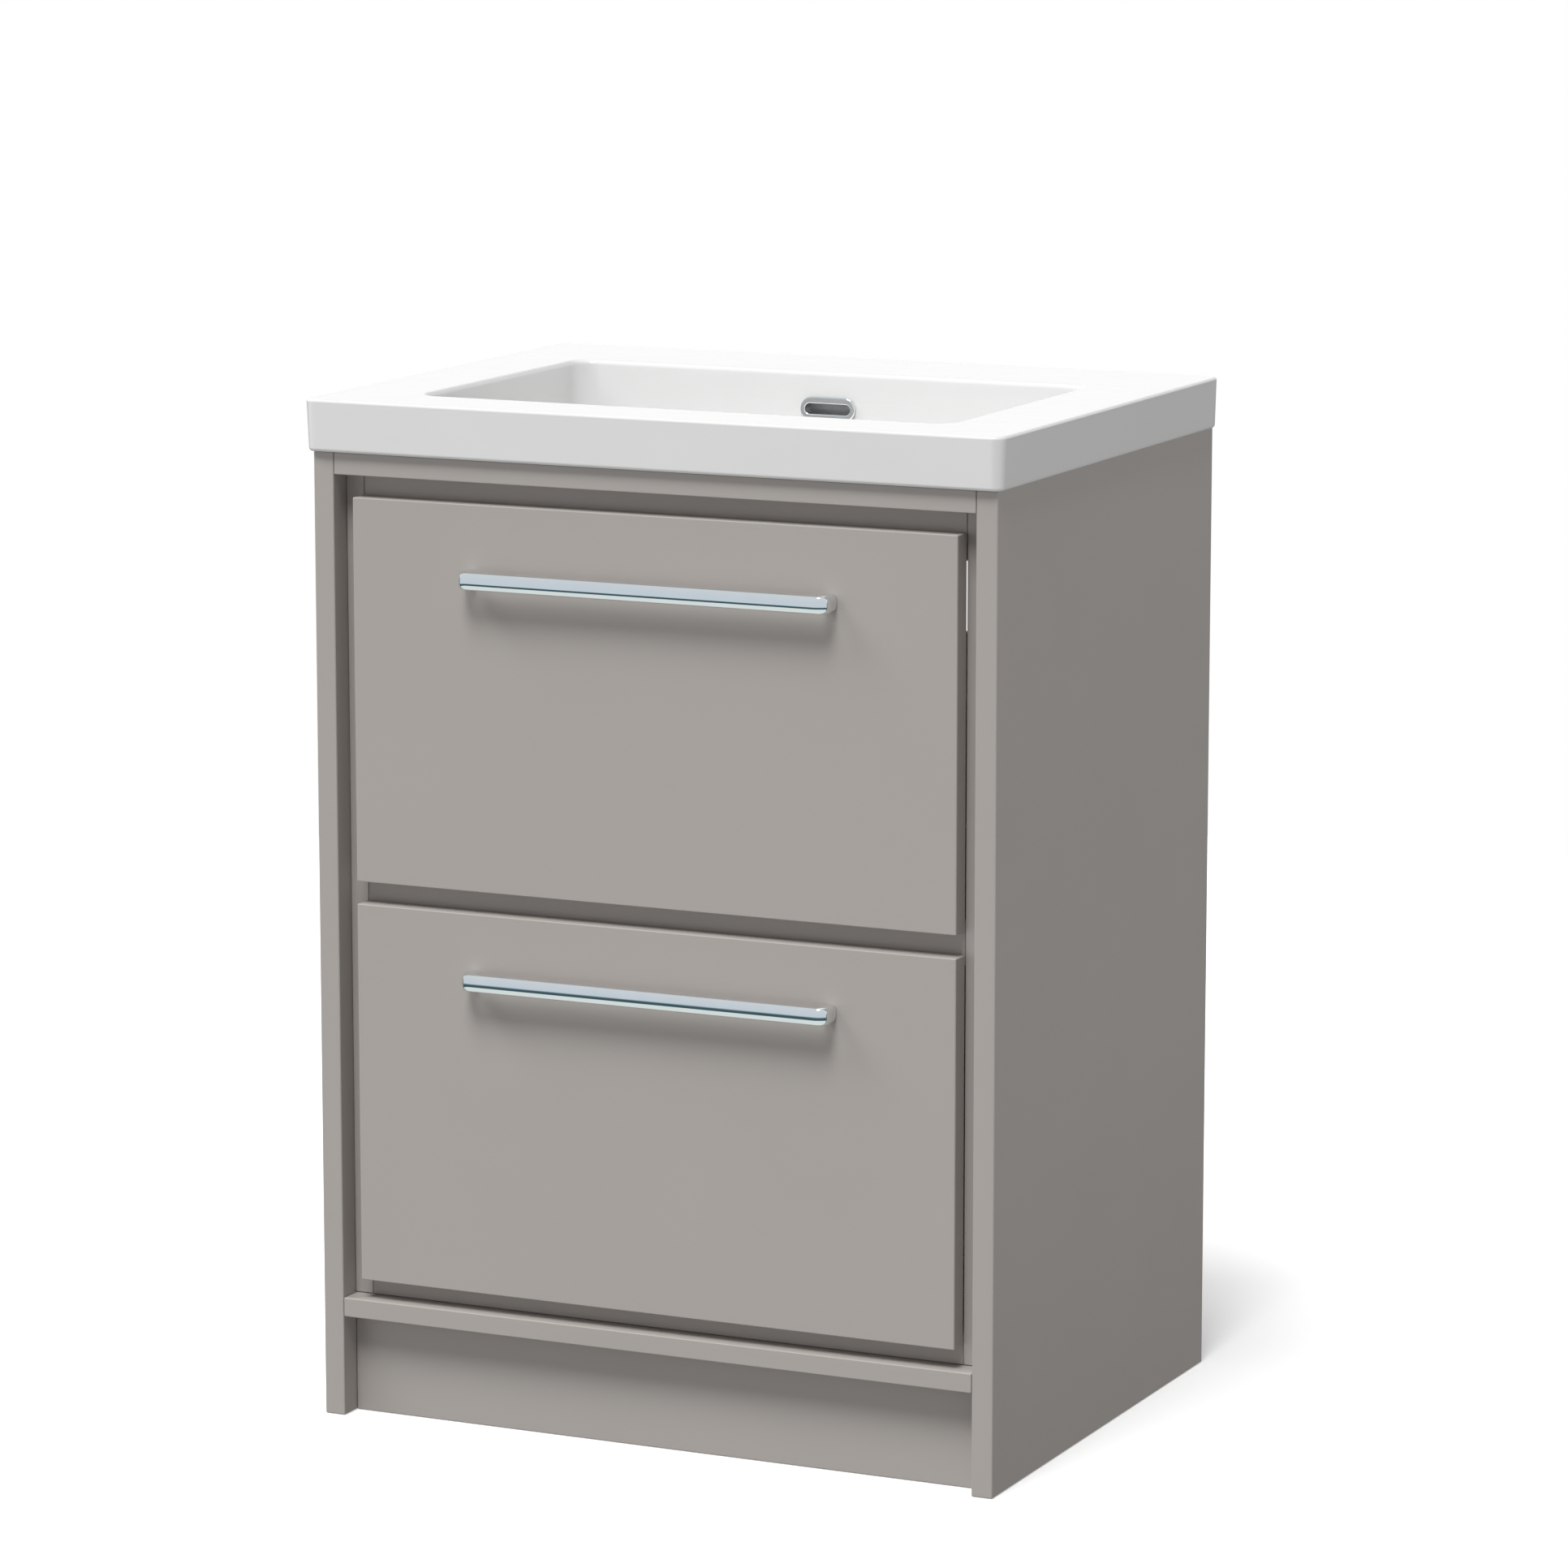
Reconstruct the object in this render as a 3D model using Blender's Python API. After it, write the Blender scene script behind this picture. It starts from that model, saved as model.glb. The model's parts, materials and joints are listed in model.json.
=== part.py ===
"""Floor-standing bathroom vanity cabinet with two drawers and a one-piece basin.

Metres, +Z up, the front faces -Y and the back stands against the wall. The origin is the middle of the
object's footprint, on the floor. Every piece is placed from the cabinet's front plane, which the empty
cabinet_front holds, and each drawer hangs on an empty that lies on its slide's axis.
"""

import math

import bmesh
import bpy
from mathutils import Matrix, Vector

# Cabinet
CABINET_WIDTH = 0.600
CABINET_DEPTH = 0.456
CABINET_HEIGHT = 0.802
END_PANEL_THICKNESS = 0.018
CARCASS_THICKNESS = 0.016
CARCASS_SETBACK = 0.021
TOP_RAIL_THICKNESS = 0.018
BASE_THICKNESS = 0.016
PLINTH_HEIGHT = 0.084
PLINTH_SETBACK = 0.021
FRAME_RAIL_OVERLAP = 0.009
FIXING_RAIL_HEIGHT = 0.100
FIXING_HOLE_RADIUS = 0.004
FIXING_HOLE_INSET = 0.080
BACK_PANEL_THICKNESS = 0.006
SERVICE_VOID = 0.047
SERVICE_NOTCH_WIDTH = 0.260
SERVICE_NOTCH_HEIGHT = 0.200
CORNER_BLOCK = 0.030

# Drawer fronts and the shadow gaps round them
FRONT_THICKNESS = 0.018
FRONT_SETBACK = 0.002
GAP_SIDE = 0.016
GAP_TOP = 0.018
GAP_MIDDLE = 0.0186
GAP_BOTTOM = 0.0168

# Drawer boxes
BOX_WALL = 0.012
BOX_BOTTOM_THICKNESS = 0.008
GROOVE_DEPTH = 0.006
GROOVE_HEIGHT_ABOVE_EDGE = 0.008
BOX_LIFT = 0.012
BOX_HEADROOM_LOWER = 0.084
TRAP_HEADROOM = 0.070
TRAP_BAY_WIDTH = 0.140
TRAP_BAY_AHEAD_OF_WASTE = 0.060

# Runners
RUNNER_STEP = 0.050
RUNNER_SPACE = 0.0127
RUNNER_HEIGHT = 0.045
RUNNER_SHEET = 0.0012
RUNNER_BALL_GAP = 0.0016
RUNNER_ABOVE_BOX_EDGE = 0.040
RUNNER_SETBACK = 0.003
RUNNER_BACK_CLEARANCE = 0.010

# Handles
HANDLE_LENGTH = 0.327
HANDLE_PROJECTION = 0.0205
HANDLE_SECTION_HEIGHT = 0.015
HANDLE_SECTION_DEPTH = 0.0094
HANDLE_BEND_RADIUS = 0.0053
HANDLE_SQUARENESS = 2.8
HANDLE_DROP_UPPER = 0.0592
HANDLE_DROP_LOWER = 0.0528
SCREW_RADIUS = 0.002
SCREW_HOLE_CLEARANCE = 0.0005
SCREW_HEAD_RADIUS = 0.004
SCREW_HEAD_HEIGHT = 0.0025
SCREW_HEAD_TAPER = 0.7
SCREW_GRIP = 0.009

# Basin
BASIN_SIDE_OVERHANG = 0.006
BASIN_FRONT_OVERHANG = 0.007
BASIN_RIM_HEIGHT = 0.0427
BASIN_CORNER_RADIUS = 0.010
BASIN_TOP_EDGE_RADIUS = 0.0025
BASIN_BOTTOM_EDGE_RADIUS = 0.003
BASIN_DRAFT = 0.0015
SKIRT_CORNER_RADIUS = 0.002
SKIRT_THICKNESS = 0.014
DECK_THICKNESS = 0.011
SIDE_DECK = 0.073
FRONT_DECK = 0.064
REAR_DECK = 0.110
BOWL_CORNER_RADIUS = 0.018
BOWL_CORNER_GROWTH = 0.6
BOWL_RIM_RADIUS = 0.0045
BOWL_WALL = 0.011
BOWL_WALL_DEPTH = 0.075
BOWL_WALL_SLOPE = 0.07
BOWL_FLOOR_RADIUS = 0.040
BOWL_FALL = 0.005
WASTE_HOLE_RADIUS = 0.023
WASTE_BOSS_RADIUS = 0.038
WASTE_BOSS_DEPTH = 0.014

# Overflow
OVERFLOW_DROP = 0.031
OVERFLOW_WIDTH = 0.050
OVERFLOW_HEIGHT = 0.0204
OVERFLOW_SLOT_WIDTH = 0.041
OVERFLOW_SLOT_HEIGHT = 0.0084
OVERFLOW_PROUD = 0.0034
OVERFLOW_SLEEVE_WALL = 0.0018
OVERFLOW_SLEEVE_LENGTH = 0.008
OVERFLOW_FIT = 0.0006
OVERFLOW_DUCT_WIDTH = 0.056
OVERFLOW_DUCT_DEPTH = 0.010
OVERFLOW_DUCT_SKIN = 0.007
OVERFLOW_DUCT_HEAD = 0.012

CONTACT_GAP = 0.0003
EDGE_BEVEL = 0.0008
CORNER_STEPS = 6
BEND_STEPS = 6
ROUND_SIDES = 20
SHARP_ANGLE = math.radians(35)

# Levels and planes that follow from the sizes above; depths are measured from the cabinet's front plane
HANDLE_FRONT = FRONT_SETBACK - HANDLE_PROJECTION
FRONT_PLANE_Y = -(CABINET_DEPTH + HANDLE_FRONT) / 2
BASE_TOP = PLINTH_HEIGHT + BASE_THICKNESS
TOP_RAIL_UNDERSIDE = CABINET_HEIGHT - TOP_RAIL_THICKNESS
FRONT_HEIGHT = (TOP_RAIL_UNDERSIDE - BASE_TOP - GAP_TOP - GAP_MIDDLE - GAP_BOTTOM) / 2
LOWER_FRONT_BOTTOM = BASE_TOP + GAP_BOTTOM
LOWER_FRONT_TOP = LOWER_FRONT_BOTTOM + FRONT_HEIGHT
UPPER_FRONT_BOTTOM = LOWER_FRONT_TOP + GAP_MIDDLE
UPPER_FRONT_TOP = UPPER_FRONT_BOTTOM + FRONT_HEIGHT
END_INNER_X = CABINET_WIDTH / 2 - END_PANEL_THICKNESS
CARCASS_OUTER_X = END_INNER_X - CONTACT_GAP
CARCASS_INNER_X = CARCASS_OUTER_X - CARCASS_THICKNESS
FRONT_HALF_WIDTH = END_INNER_X - GAP_SIDE
FRAME_RAIL_BACK = CARCASS_SETBACK + CARCASS_THICKNESS
BACK_PANEL_Y = CABINET_DEPTH - SERVICE_VOID - BACK_PANEL_THICKNESS
FRONT_BACK_Y = FRONT_SETBACK + FRONT_THICKNESS

BASIN_BOTTOM = CABINET_HEIGHT + CONTACT_GAP
BASIN_TOP = BASIN_BOTTOM + BASIN_RIM_HEIGHT
BASIN_HALF_WIDTH = CABINET_WIDTH / 2 + BASIN_SIDE_OVERHANG
BOWL_HALF_WIDTH = BASIN_HALF_WIDTH - SIDE_DECK
BOWL_FRONT_Y = -BASIN_FRONT_OVERHANG + FRONT_DECK
BOWL_BACK_Y = CABINET_DEPTH - REAR_DECK
WASTE_Y = (BOWL_FRONT_Y + BOWL_BACK_Y) / 2
BOWL_EDGE_DEPTH = BOWL_WALL_DEPTH + BOWL_FLOOR_RADIUS
BOSS_BOTTOM = BASIN_TOP - BOWL_EDGE_DEPTH - BOWL_FALL - BOWL_WALL - WASTE_BOSS_DEPTH

BOX_FRONT_Y = FRONT_BACK_Y + CONTACT_GAP
RUNNER_Y = CARCASS_SETBACK + RUNNER_SETBACK
RUNNER_ROOM = BACK_PANEL_Y - RUNNER_BACK_CLEARANCE - RUNNER_Y
RUNNER_LENGTH = RUNNER_STEP * math.floor(RUNNER_ROOM / RUNNER_STEP)
BOX_BACK_Y = RUNNER_Y + RUNNER_LENGTH
BOX_HALF_WIDTH = CARCASS_INNER_X - RUNNER_SPACE
LOWER_BOX_BOTTOM = LOWER_FRONT_BOTTOM + FRAME_RAIL_OVERLAP + BOX_LIFT
UPPER_BOX_BOTTOM = UPPER_FRONT_BOTTOM + FRAME_RAIL_OVERLAP + BOX_LIFT
LOWER_BOX_TOP = LOWER_FRONT_TOP - FRAME_RAIL_OVERLAP - BOX_HEADROOM_LOWER
UPPER_BOX_TOP = BOSS_BOTTOM - TRAP_HEADROOM


def paint(name, colour, roughness, metallic=0.0):
    """A Principled material of one colour."""
    material = bpy.data.materials.new(name)
    material.use_nodes = True
    shader = material.node_tree.nodes["Principled BSDF"]
    shader.inputs["Base Color"].default_value = (*colour, 1.0)
    shader.inputs["Roughness"].default_value = roughness
    shader.inputs["Metallic"].default_value = metallic
    return material


def make_materials():
    return {
        "painted": paint("painted_taupe", (0.38, 0.355, 0.335), 0.45),
        "laminate": paint("drawer_laminate", (0.62, 0.61, 0.59), 0.5),
        "backing": paint("back_board", (0.55, 0.53, 0.5), 0.7),
        "ceramic": paint("white_ceramic", (0.9, 0.9, 0.89), 0.08),
        "chrome": paint("chrome_plate", (0.85, 0.86, 0.87), 0.05, 1.0),
        "zinc": paint("zinc_plated_steel", (0.62, 0.63, 0.65), 0.35, 1.0),
        "plastic": paint("grey_plastic", (0.35, 0.35, 0.35), 0.5),
    }


def empty(name, place, parent=None):
    """A plain axes empty at a place given in its parent's frame."""
    holder = bpy.data.objects.new(name, None)
    holder.empty_display_size = 0.05
    holder.location = place
    holder.parent = parent
    bpy.context.scene.collection.objects.link(holder)
    return holder


def finish(mesh_name, shape, material, parent):
    """Turn a bmesh, given from the cabinet's front plane, into an object under its parent empty."""
    bmesh.ops.recalc_face_normals(shape, faces=shape.faces)
    mesh = bpy.data.meshes.new(mesh_name)
    shape.to_mesh(mesh)
    shape.free()
    mesh.materials.append(material)
    piece = bpy.data.objects.new(mesh_name, mesh)
    piece.parent = parent
    bpy.context.scene.collection.objects.link(piece)
    if parent is not None and parent.parent is not None:
        mesh.transform(Matrix.Translation(-parent.location))
    return piece


def ease_edges(piece, width, segments=1):
    """Soften the edges with a Bevel modifier."""
    bevel = piece.modifiers.new("eased_edges", "BEVEL")
    bevel.width = width
    bevel.segments = segments
    bevel.limit_method = "ANGLE"
    bevel.angle_limit = SHARP_ANGLE


def combine(piece, tool, operation):
    """Join a hidden helper solid to the piece, or take it away, with an exact Boolean."""
    tool.hide_render = True
    tool.display_type = "WIRE"
    boolean = piece.modifiers.new(f"{operation.lower()}_{tool.name}", "BOOLEAN")
    boolean.operation = operation
    boolean.object = tool
    boolean.solver = "EXACT"


def cut(piece, cutter):
    combine(piece, cutter, "DIFFERENCE")


def board(name, low, high, material, parent, bevel=EDGE_BEVEL):
    """A rectangular panel between two corners."""
    shape = bmesh.new()
    middle = (Vector(low) + Vector(high)) / 2
    size = Vector(high) - Vector(low)
    place = Matrix.Translation(middle) @ Matrix.Diagonal((*size, 1.0))
    bmesh.ops.create_cube(shape, size=1.0, matrix=place)
    piece = finish(name, shape, material, parent)
    if bevel:
        ease_edges(piece, bevel)
    return piece


def extruded(name, outline, axis, start, end, material, parent):
    """A bar of one cross-section. The outline lies across the axis, in the order of the other two axes."""
    place = {
        "X": lambda a, b, along: (along, a, b),
        "Y": lambda a, b, along: (a, along, b),
        "Z": lambda a, b, along: (a, b, along),
    }[axis]
    shape = bmesh.new()
    first = [shape.verts.new(place(a, b, start)) for a, b in outline]
    face = shape.faces.new(first)
    moved = bmesh.ops.extrude_face_region(shape, geom=[face])["geom"]
    verts = [item for item in moved if isinstance(item, bmesh.types.BMVert)]
    step = Vector(place(0.0, 0.0, end - start))
    bmesh.ops.translate(shape, vec=step, verts=verts)
    return finish(name, shape, material, parent)


def skin(name, loops, material, parent, capped):
    """Bridge loops of as many points each. The skin ends in caps, or else it closes on its first loop."""
    shape = bmesh.new()
    rings = [[shape.verts.new(point) for point in loop] for loop in loops]
    pairs = list(zip(rings, rings[1:]))
    if not capped:
        pairs.append((rings[-1], rings[0]))
    for ring, following in pairs:
        for i, vert in enumerate(ring):
            j = (i + 1) % len(ring)
            shape.faces.new((vert, ring[j], following[j], following[i]))
    if capped:
        shape.faces.new(rings[0])
        shape.faces.new(rings[-1])
    piece = finish(name, shape, material, parent)
    piece.data.shade_smooth()
    piece.data.set_sharp_from_angle(angle=SHARP_ANGLE)
    return piece


def rounded_outline(low_x, high_x, low_y, high_y, radius):
    """A rectangle with round corners, counter-clockwise, with the same number of points whatever its size."""
    centres = [
        (high_x - radius, high_y - radius, 0.0),
        (low_x + radius, high_y - radius, 90.0),
        (low_x + radius, low_y + radius, 180.0),
        (high_x - radius, low_y + radius, 270.0),
    ]
    points = []
    for x, y, start in centres:
        for step in range(CORNER_STEPS + 1):
            angle = math.radians(start + 90.0 * step / CORNER_STEPS)
            points.append((x + radius * math.cos(angle), y + radius * math.sin(angle)))
    return points


def turned(name, profile, centre_x, centre_z, material, parent):
    """A round solid on an axis along Y, from a profile of (radius, y)."""
    angles = [2 * math.pi * i / ROUND_SIDES for i in range(ROUND_SIDES)]
    loops = [
        [(centre_x + radius * math.cos(a), y, centre_z + radius * math.sin(a)) for a in angles]
        for radius, y in profile
    ]
    return skin(name, loops, material, parent, capped=True)


def side_name(sign):
    return "left" if sign < 0 else "right"


def make_cabinet(painted, backing, plastic, parent):
    """The painted outer frame, the carcass inside it and the rails that stiffen both."""
    for sign in (-1, 1):
        make_side(sign, painted, parent)

    x = CARCASS_OUTER_X
    board("base_panel", (-x, 0, PLINTH_HEIGHT), (x, CABINET_DEPTH, BASE_TOP), painted, parent)
    board("top_rail", (-x, 0, TOP_RAIL_UNDERSIDE), (x, FRAME_RAIL_BACK, CABINET_HEIGHT), painted, parent)
    plinth_top = PLINTH_HEIGHT - CONTACT_GAP
    plinth_back = PLINTH_SETBACK + CARCASS_THICKNESS
    board("plinth_panel", (-x, PLINTH_SETBACK, 0), (x, plinth_back, plinth_top), painted, parent)
    rear_plinth_front = CABINET_DEPTH - CARCASS_THICKNESS
    board("plinth_rear_rail", (-x, rear_plinth_front, 0), (x, CABINET_DEPTH, plinth_top), painted, parent)

    x = CARCASS_INNER_X - CONTACT_GAP
    frame_rails = {
        "frame_rail_top": (UPPER_FRONT_TOP - FRAME_RAIL_OVERLAP, TOP_RAIL_UNDERSIDE - CONTACT_GAP),
        "frame_rail_middle": (LOWER_FRONT_TOP - FRAME_RAIL_OVERLAP, UPPER_FRONT_BOTTOM + FRAME_RAIL_OVERLAP),
        "frame_rail_bottom": (BASE_TOP + CONTACT_GAP, LOWER_FRONT_BOTTOM + FRAME_RAIL_OVERLAP),
    }
    for name, (low_z, high_z) in frame_rails.items():
        board(name, (-x, CARCASS_SETBACK, low_z), (x, FRAME_RAIL_BACK, high_z), painted, parent)

    for sign in (-1, 1):
        ends = sorted((sign * CARCASS_OUTER_X, sign * (CARCASS_OUTER_X - CORNER_BLOCK)))
        low = (ends[0], plinth_back + CONTACT_GAP, plinth_top - CORNER_BLOCK)
        high = (ends[1], plinth_back + CONTACT_GAP + CORNER_BLOCK, plinth_top)
        board(f"plinth_block_{side_name(sign)}", low, high, plastic, parent)

    make_fixing_rail(painted, parent)
    make_back_panel(backing, parent)


def make_side(sign, painted, parent):
    """An end panel down to the floor and the carcass side on its inner face, notched for the fixing rail."""
    side = side_name(sign)
    outer = sorted((sign * CABINET_WIDTH / 2, sign * END_INNER_X))
    high = (outer[1], CABINET_DEPTH, CABINET_HEIGHT)
    board(f"end_panel_{side}", (outer[0], 0, 0), high, painted, parent)
    inner = sorted((sign * CARCASS_OUTER_X, sign * CARCASS_INNER_X))
    low = (inner[0], CARCASS_SETBACK, BASE_TOP + CONTACT_GAP)
    high = (inner[1], CABINET_DEPTH, TOP_RAIL_UNDERSIDE - CONTACT_GAP)
    carcass_side = board(f"carcass_side_{side}", low, high, painted, parent)
    rail_front = CABINET_DEPTH - CARCASS_THICKNESS - CONTACT_GAP
    rail_bottom = CABINET_HEIGHT - FIXING_RAIL_HEIGHT - CONTACT_GAP
    low = (inner[0] - CARCASS_THICKNESS, rail_front, rail_bottom)
    high = (inner[1] + CARCASS_THICKNESS, CABINET_DEPTH + CARCASS_THICKNESS, CABINET_HEIGHT)
    cut(carcass_side, board(f"cutter_fixing_rail_{side}", low, high, painted, parent, bevel=0))


def make_fixing_rail(painted, parent):
    """The rail that is screwed to the wall, with a hole for a wall screw near each end."""
    x = CARCASS_OUTER_X
    low = (-x, CABINET_DEPTH - CARCASS_THICKNESS, CABINET_HEIGHT - FIXING_RAIL_HEIGHT)
    rail = board("wall_fixing_rail", low, (x, CABINET_DEPTH, CABINET_HEIGHT), painted, parent)
    height = CABINET_HEIGHT - FIXING_RAIL_HEIGHT / 2
    for sign in (-1, 1):
        centre = sign * (x - FIXING_HOLE_INSET)
        ends = (CABINET_DEPTH - 2 * CARCASS_THICKNESS, CABINET_DEPTH + CARCASS_THICKNESS)
        profile = [(FIXING_HOLE_RADIUS, y) for y in ends]
        name = f"cutter_fixing_hole_{side_name(sign)}"
        cut(rail, turned(name, profile, centre, height, painted, parent))


def make_back_panel(backing, parent):
    """A thin back with a notch for the pipes, which leaves a service void behind it."""
    x = CARCASS_INNER_X - CONTACT_GAP
    notch = SERVICE_NOTCH_WIDTH / 2
    low_z = BASE_TOP + CONTACT_GAP
    high_z = TOP_RAIL_UNDERSIDE - CONTACT_GAP
    notch_z = high_z - SERVICE_NOTCH_HEIGHT
    outline = [
        (-x, low_z), (x, low_z), (x, high_z), (notch, high_z),
        (notch, notch_z), (-notch, notch_z), (-notch, high_z), (-x, high_z),
    ]
    extruded("back_panel", outline, "Y", BACK_PANEL_Y, BACK_PANEL_Y + BACK_PANEL_THICKNESS, backing, parent)


def bowl_inset(depth_fraction):
    """Inset and depth of the bowl's inner surface, from the foot of the rim's edge (0) to the floor (1)."""
    start = BOWL_RIM_RADIUS
    wall_run = BOWL_WALL_DEPTH - start
    foot = wall_run * BOWL_WALL_SLOPE
    if depth_fraction <= 0.5:
        depth = start + wall_run * depth_fraction * 2
        return (depth - start) * BOWL_WALL_SLOPE, depth
    turn = math.pi / 2 * (depth_fraction - 0.5) * 2
    inset = foot + BOWL_FLOOR_RADIUS * (1 - math.cos(turn))
    return inset, BOWL_WALL_DEPTH + BOWL_FLOOR_RADIUS * math.sin(turn)


def bowl_loop(outset, depth):
    """A level outline round the bowl: its rim outline moved out by outset, at a depth below the basin's top.

    Its corners grow rounder both ways, outwards with the wall and inwards towards the floor.
    """
    if outset > 0:
        radius = BOWL_CORNER_RADIUS + outset
    else:
        radius = BOWL_CORNER_RADIUS + BOWL_CORNER_GROWTH * min(-outset, BOWL_FLOOR_RADIUS)
    x = BOWL_HALF_WIDTH + outset
    outline = rounded_outline(-x, x, BOWL_FRONT_Y - outset, BOWL_BACK_Y + outset, radius)
    return [(x, y, BASIN_TOP - depth) for x, y in outline]


def basin_loop(inset, height, back_inset=None):
    """A level outline round the basin's outside, at a height above the cabinet's top."""
    back = inset if back_inset is None else back_inset
    radius = max(BASIN_CORNER_RADIUS - inset, SKIRT_CORNER_RADIUS)
    outline = rounded_outline(
        -BASIN_HALF_WIDTH + inset, BASIN_HALF_WIDTH - inset,
        -BASIN_FRONT_OVERHANG + inset, CABINET_DEPTH - back, radius,
    )
    return [(x, y, BASIN_BOTTOM + height) for x, y in outline]


def waste_loop(radius, depth):
    outline = rounded_outline(-radius, radius, WASTE_Y - radius, WASTE_Y + radius, radius)
    return [(x, y, BASIN_TOP - depth) for x, y in outline]


def basin_loops():
    """The basin's whole skin as one ring of outlines: bowl, rim, deck, skirt, underside, waste bore."""
    arc = [math.radians(angle) for angle in (0, 30, 60, 90)]
    fractions = (0.0, 0.25, 0.5, 0.625, 0.75, 0.875, 1.0)
    floor_depth = BOWL_EDGE_DEPTH + BOWL_FALL
    loops = [waste_loop(WASTE_HOLE_RADIUS, floor_depth)]
    for fraction in reversed(fractions):
        inset, depth = bowl_inset(fraction)
        loops.append(bowl_loop(-inset, depth))
    for angle in arc[1:]:
        outset = BOWL_RIM_RADIUS * (1 - math.cos(angle))
        loops.append(bowl_loop(outset, BOWL_RIM_RADIUS * (1 - math.sin(angle))))
    for angle in arc:
        inset = BASIN_TOP_EDGE_RADIUS * (1 - math.sin(angle))
        drop = BASIN_TOP_EDGE_RADIUS * (1 - math.cos(angle))
        loops.append(basin_loop(inset, BASIN_RIM_HEIGHT - drop))
    for angle in arc:
        rise = BASIN_BOTTOM_EDGE_RADIUS * (1 - math.sin(angle))
        inset = BASIN_BOTTOM_EDGE_RADIUS * (1 - math.cos(angle))
        loops.append(basin_loop(BASIN_DRAFT + inset, rise, back_inset=inset))
    underside = BASIN_RIM_HEIGHT - DECK_THICKNESS
    loops.append(basin_loop(SKIRT_THICKNESS, 0))
    loops.append(basin_loop(SKIRT_THICKNESS, underside))
    loops.append(bowl_loop(BOWL_WALL, DECK_THICKNESS))
    for fraction in fractions[1:]:
        inset, depth = bowl_inset(fraction)
        loops.append(bowl_loop(BOWL_WALL - inset, depth + BOWL_WALL * max(0.0, 2 * fraction - 1)))
    loops.append(waste_loop(WASTE_BOSS_RADIUS, floor_depth + BOWL_WALL))
    loops.append(waste_loop(WASTE_BOSS_RADIUS, floor_depth + BOWL_WALL + WASTE_BOSS_DEPTH))
    loops.append(waste_loop(WASTE_HOLE_RADIUS, floor_depth + BOWL_WALL + WASTE_BOSS_DEPTH))
    return loops


def stadium_loop(width, height, depth):
    """A slot-shaped outline standing upright, at a depth behind the overflow's seat on the bowl's wall."""
    outline = rounded_outline(-width / 2, width / 2, -height / 2, height / 2, height / 2)
    return [(x, depth, z) for x, z in outline]


def bowl_band(near, far, head, end_y):
    """A band that follows the bowl's back wall and floor at two distances outside them, seen from the side.

    It starts at the depth head on the wall and ends at end_y under the floor.
    """
    inner, outer = [], []
    fractions = [0.5 + 0.5 * step / BEND_STEPS for step in range(BEND_STEPS + 1)]
    for fraction in fractions:
        inset, depth = bowl_inset(fraction)
        turn = math.pi * (fraction - 0.5)
        for line, distance in ((inner, near), (outer, far)):
            y = BOWL_BACK_Y - inset + distance * math.cos(turn)
            line.append((y, BASIN_TOP - depth - distance * math.sin(turn)))
    for line in (inner, outer):
        rise = head - BOWL_RIM_RADIUS
        wall_y = line[0][0] + (BOWL_WALL_DEPTH - BOWL_RIM_RADIUS - rise) * BOWL_WALL_SLOPE
        line.insert(0, (wall_y, BASIN_TOP - head))
        line.append((end_y, line[-1][1] - BOWL_FALL))
    return inner + outer[::-1]


def make_overflow_duct(basin, ceramic, parent):
    """Join to the basin a duct that leads from the overflow hole down behind the bowl to the waste bore."""
    near = OVERFLOW_DUCT_SKIN
    far = near + OVERFLOW_DUCT_DEPTH
    head = OVERFLOW_DROP - OVERFLOW_DUCT_HEAD
    half = OVERFLOW_DUCT_WIDTH / 2
    shell_half = half + OVERFLOW_DUCT_SKIN
    shell_head = min(DECK_THICKNESS / 2, head - near)
    shell_outline = bowl_band(near / 2, far + near, shell_head, WASTE_Y + WASTE_BOSS_RADIUS - near)
    shell = extruded("cutter_duct_shell", shell_outline, "X", -shell_half, shell_half, ceramic, parent)
    combine(basin, shell, "UNION")
    passage = bowl_band(near, far, head, WASTE_Y)
    combine(basin, extruded("cutter_duct_passage", passage, "X", -half, half, ceramic, parent), "DIFFERENCE")


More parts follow.
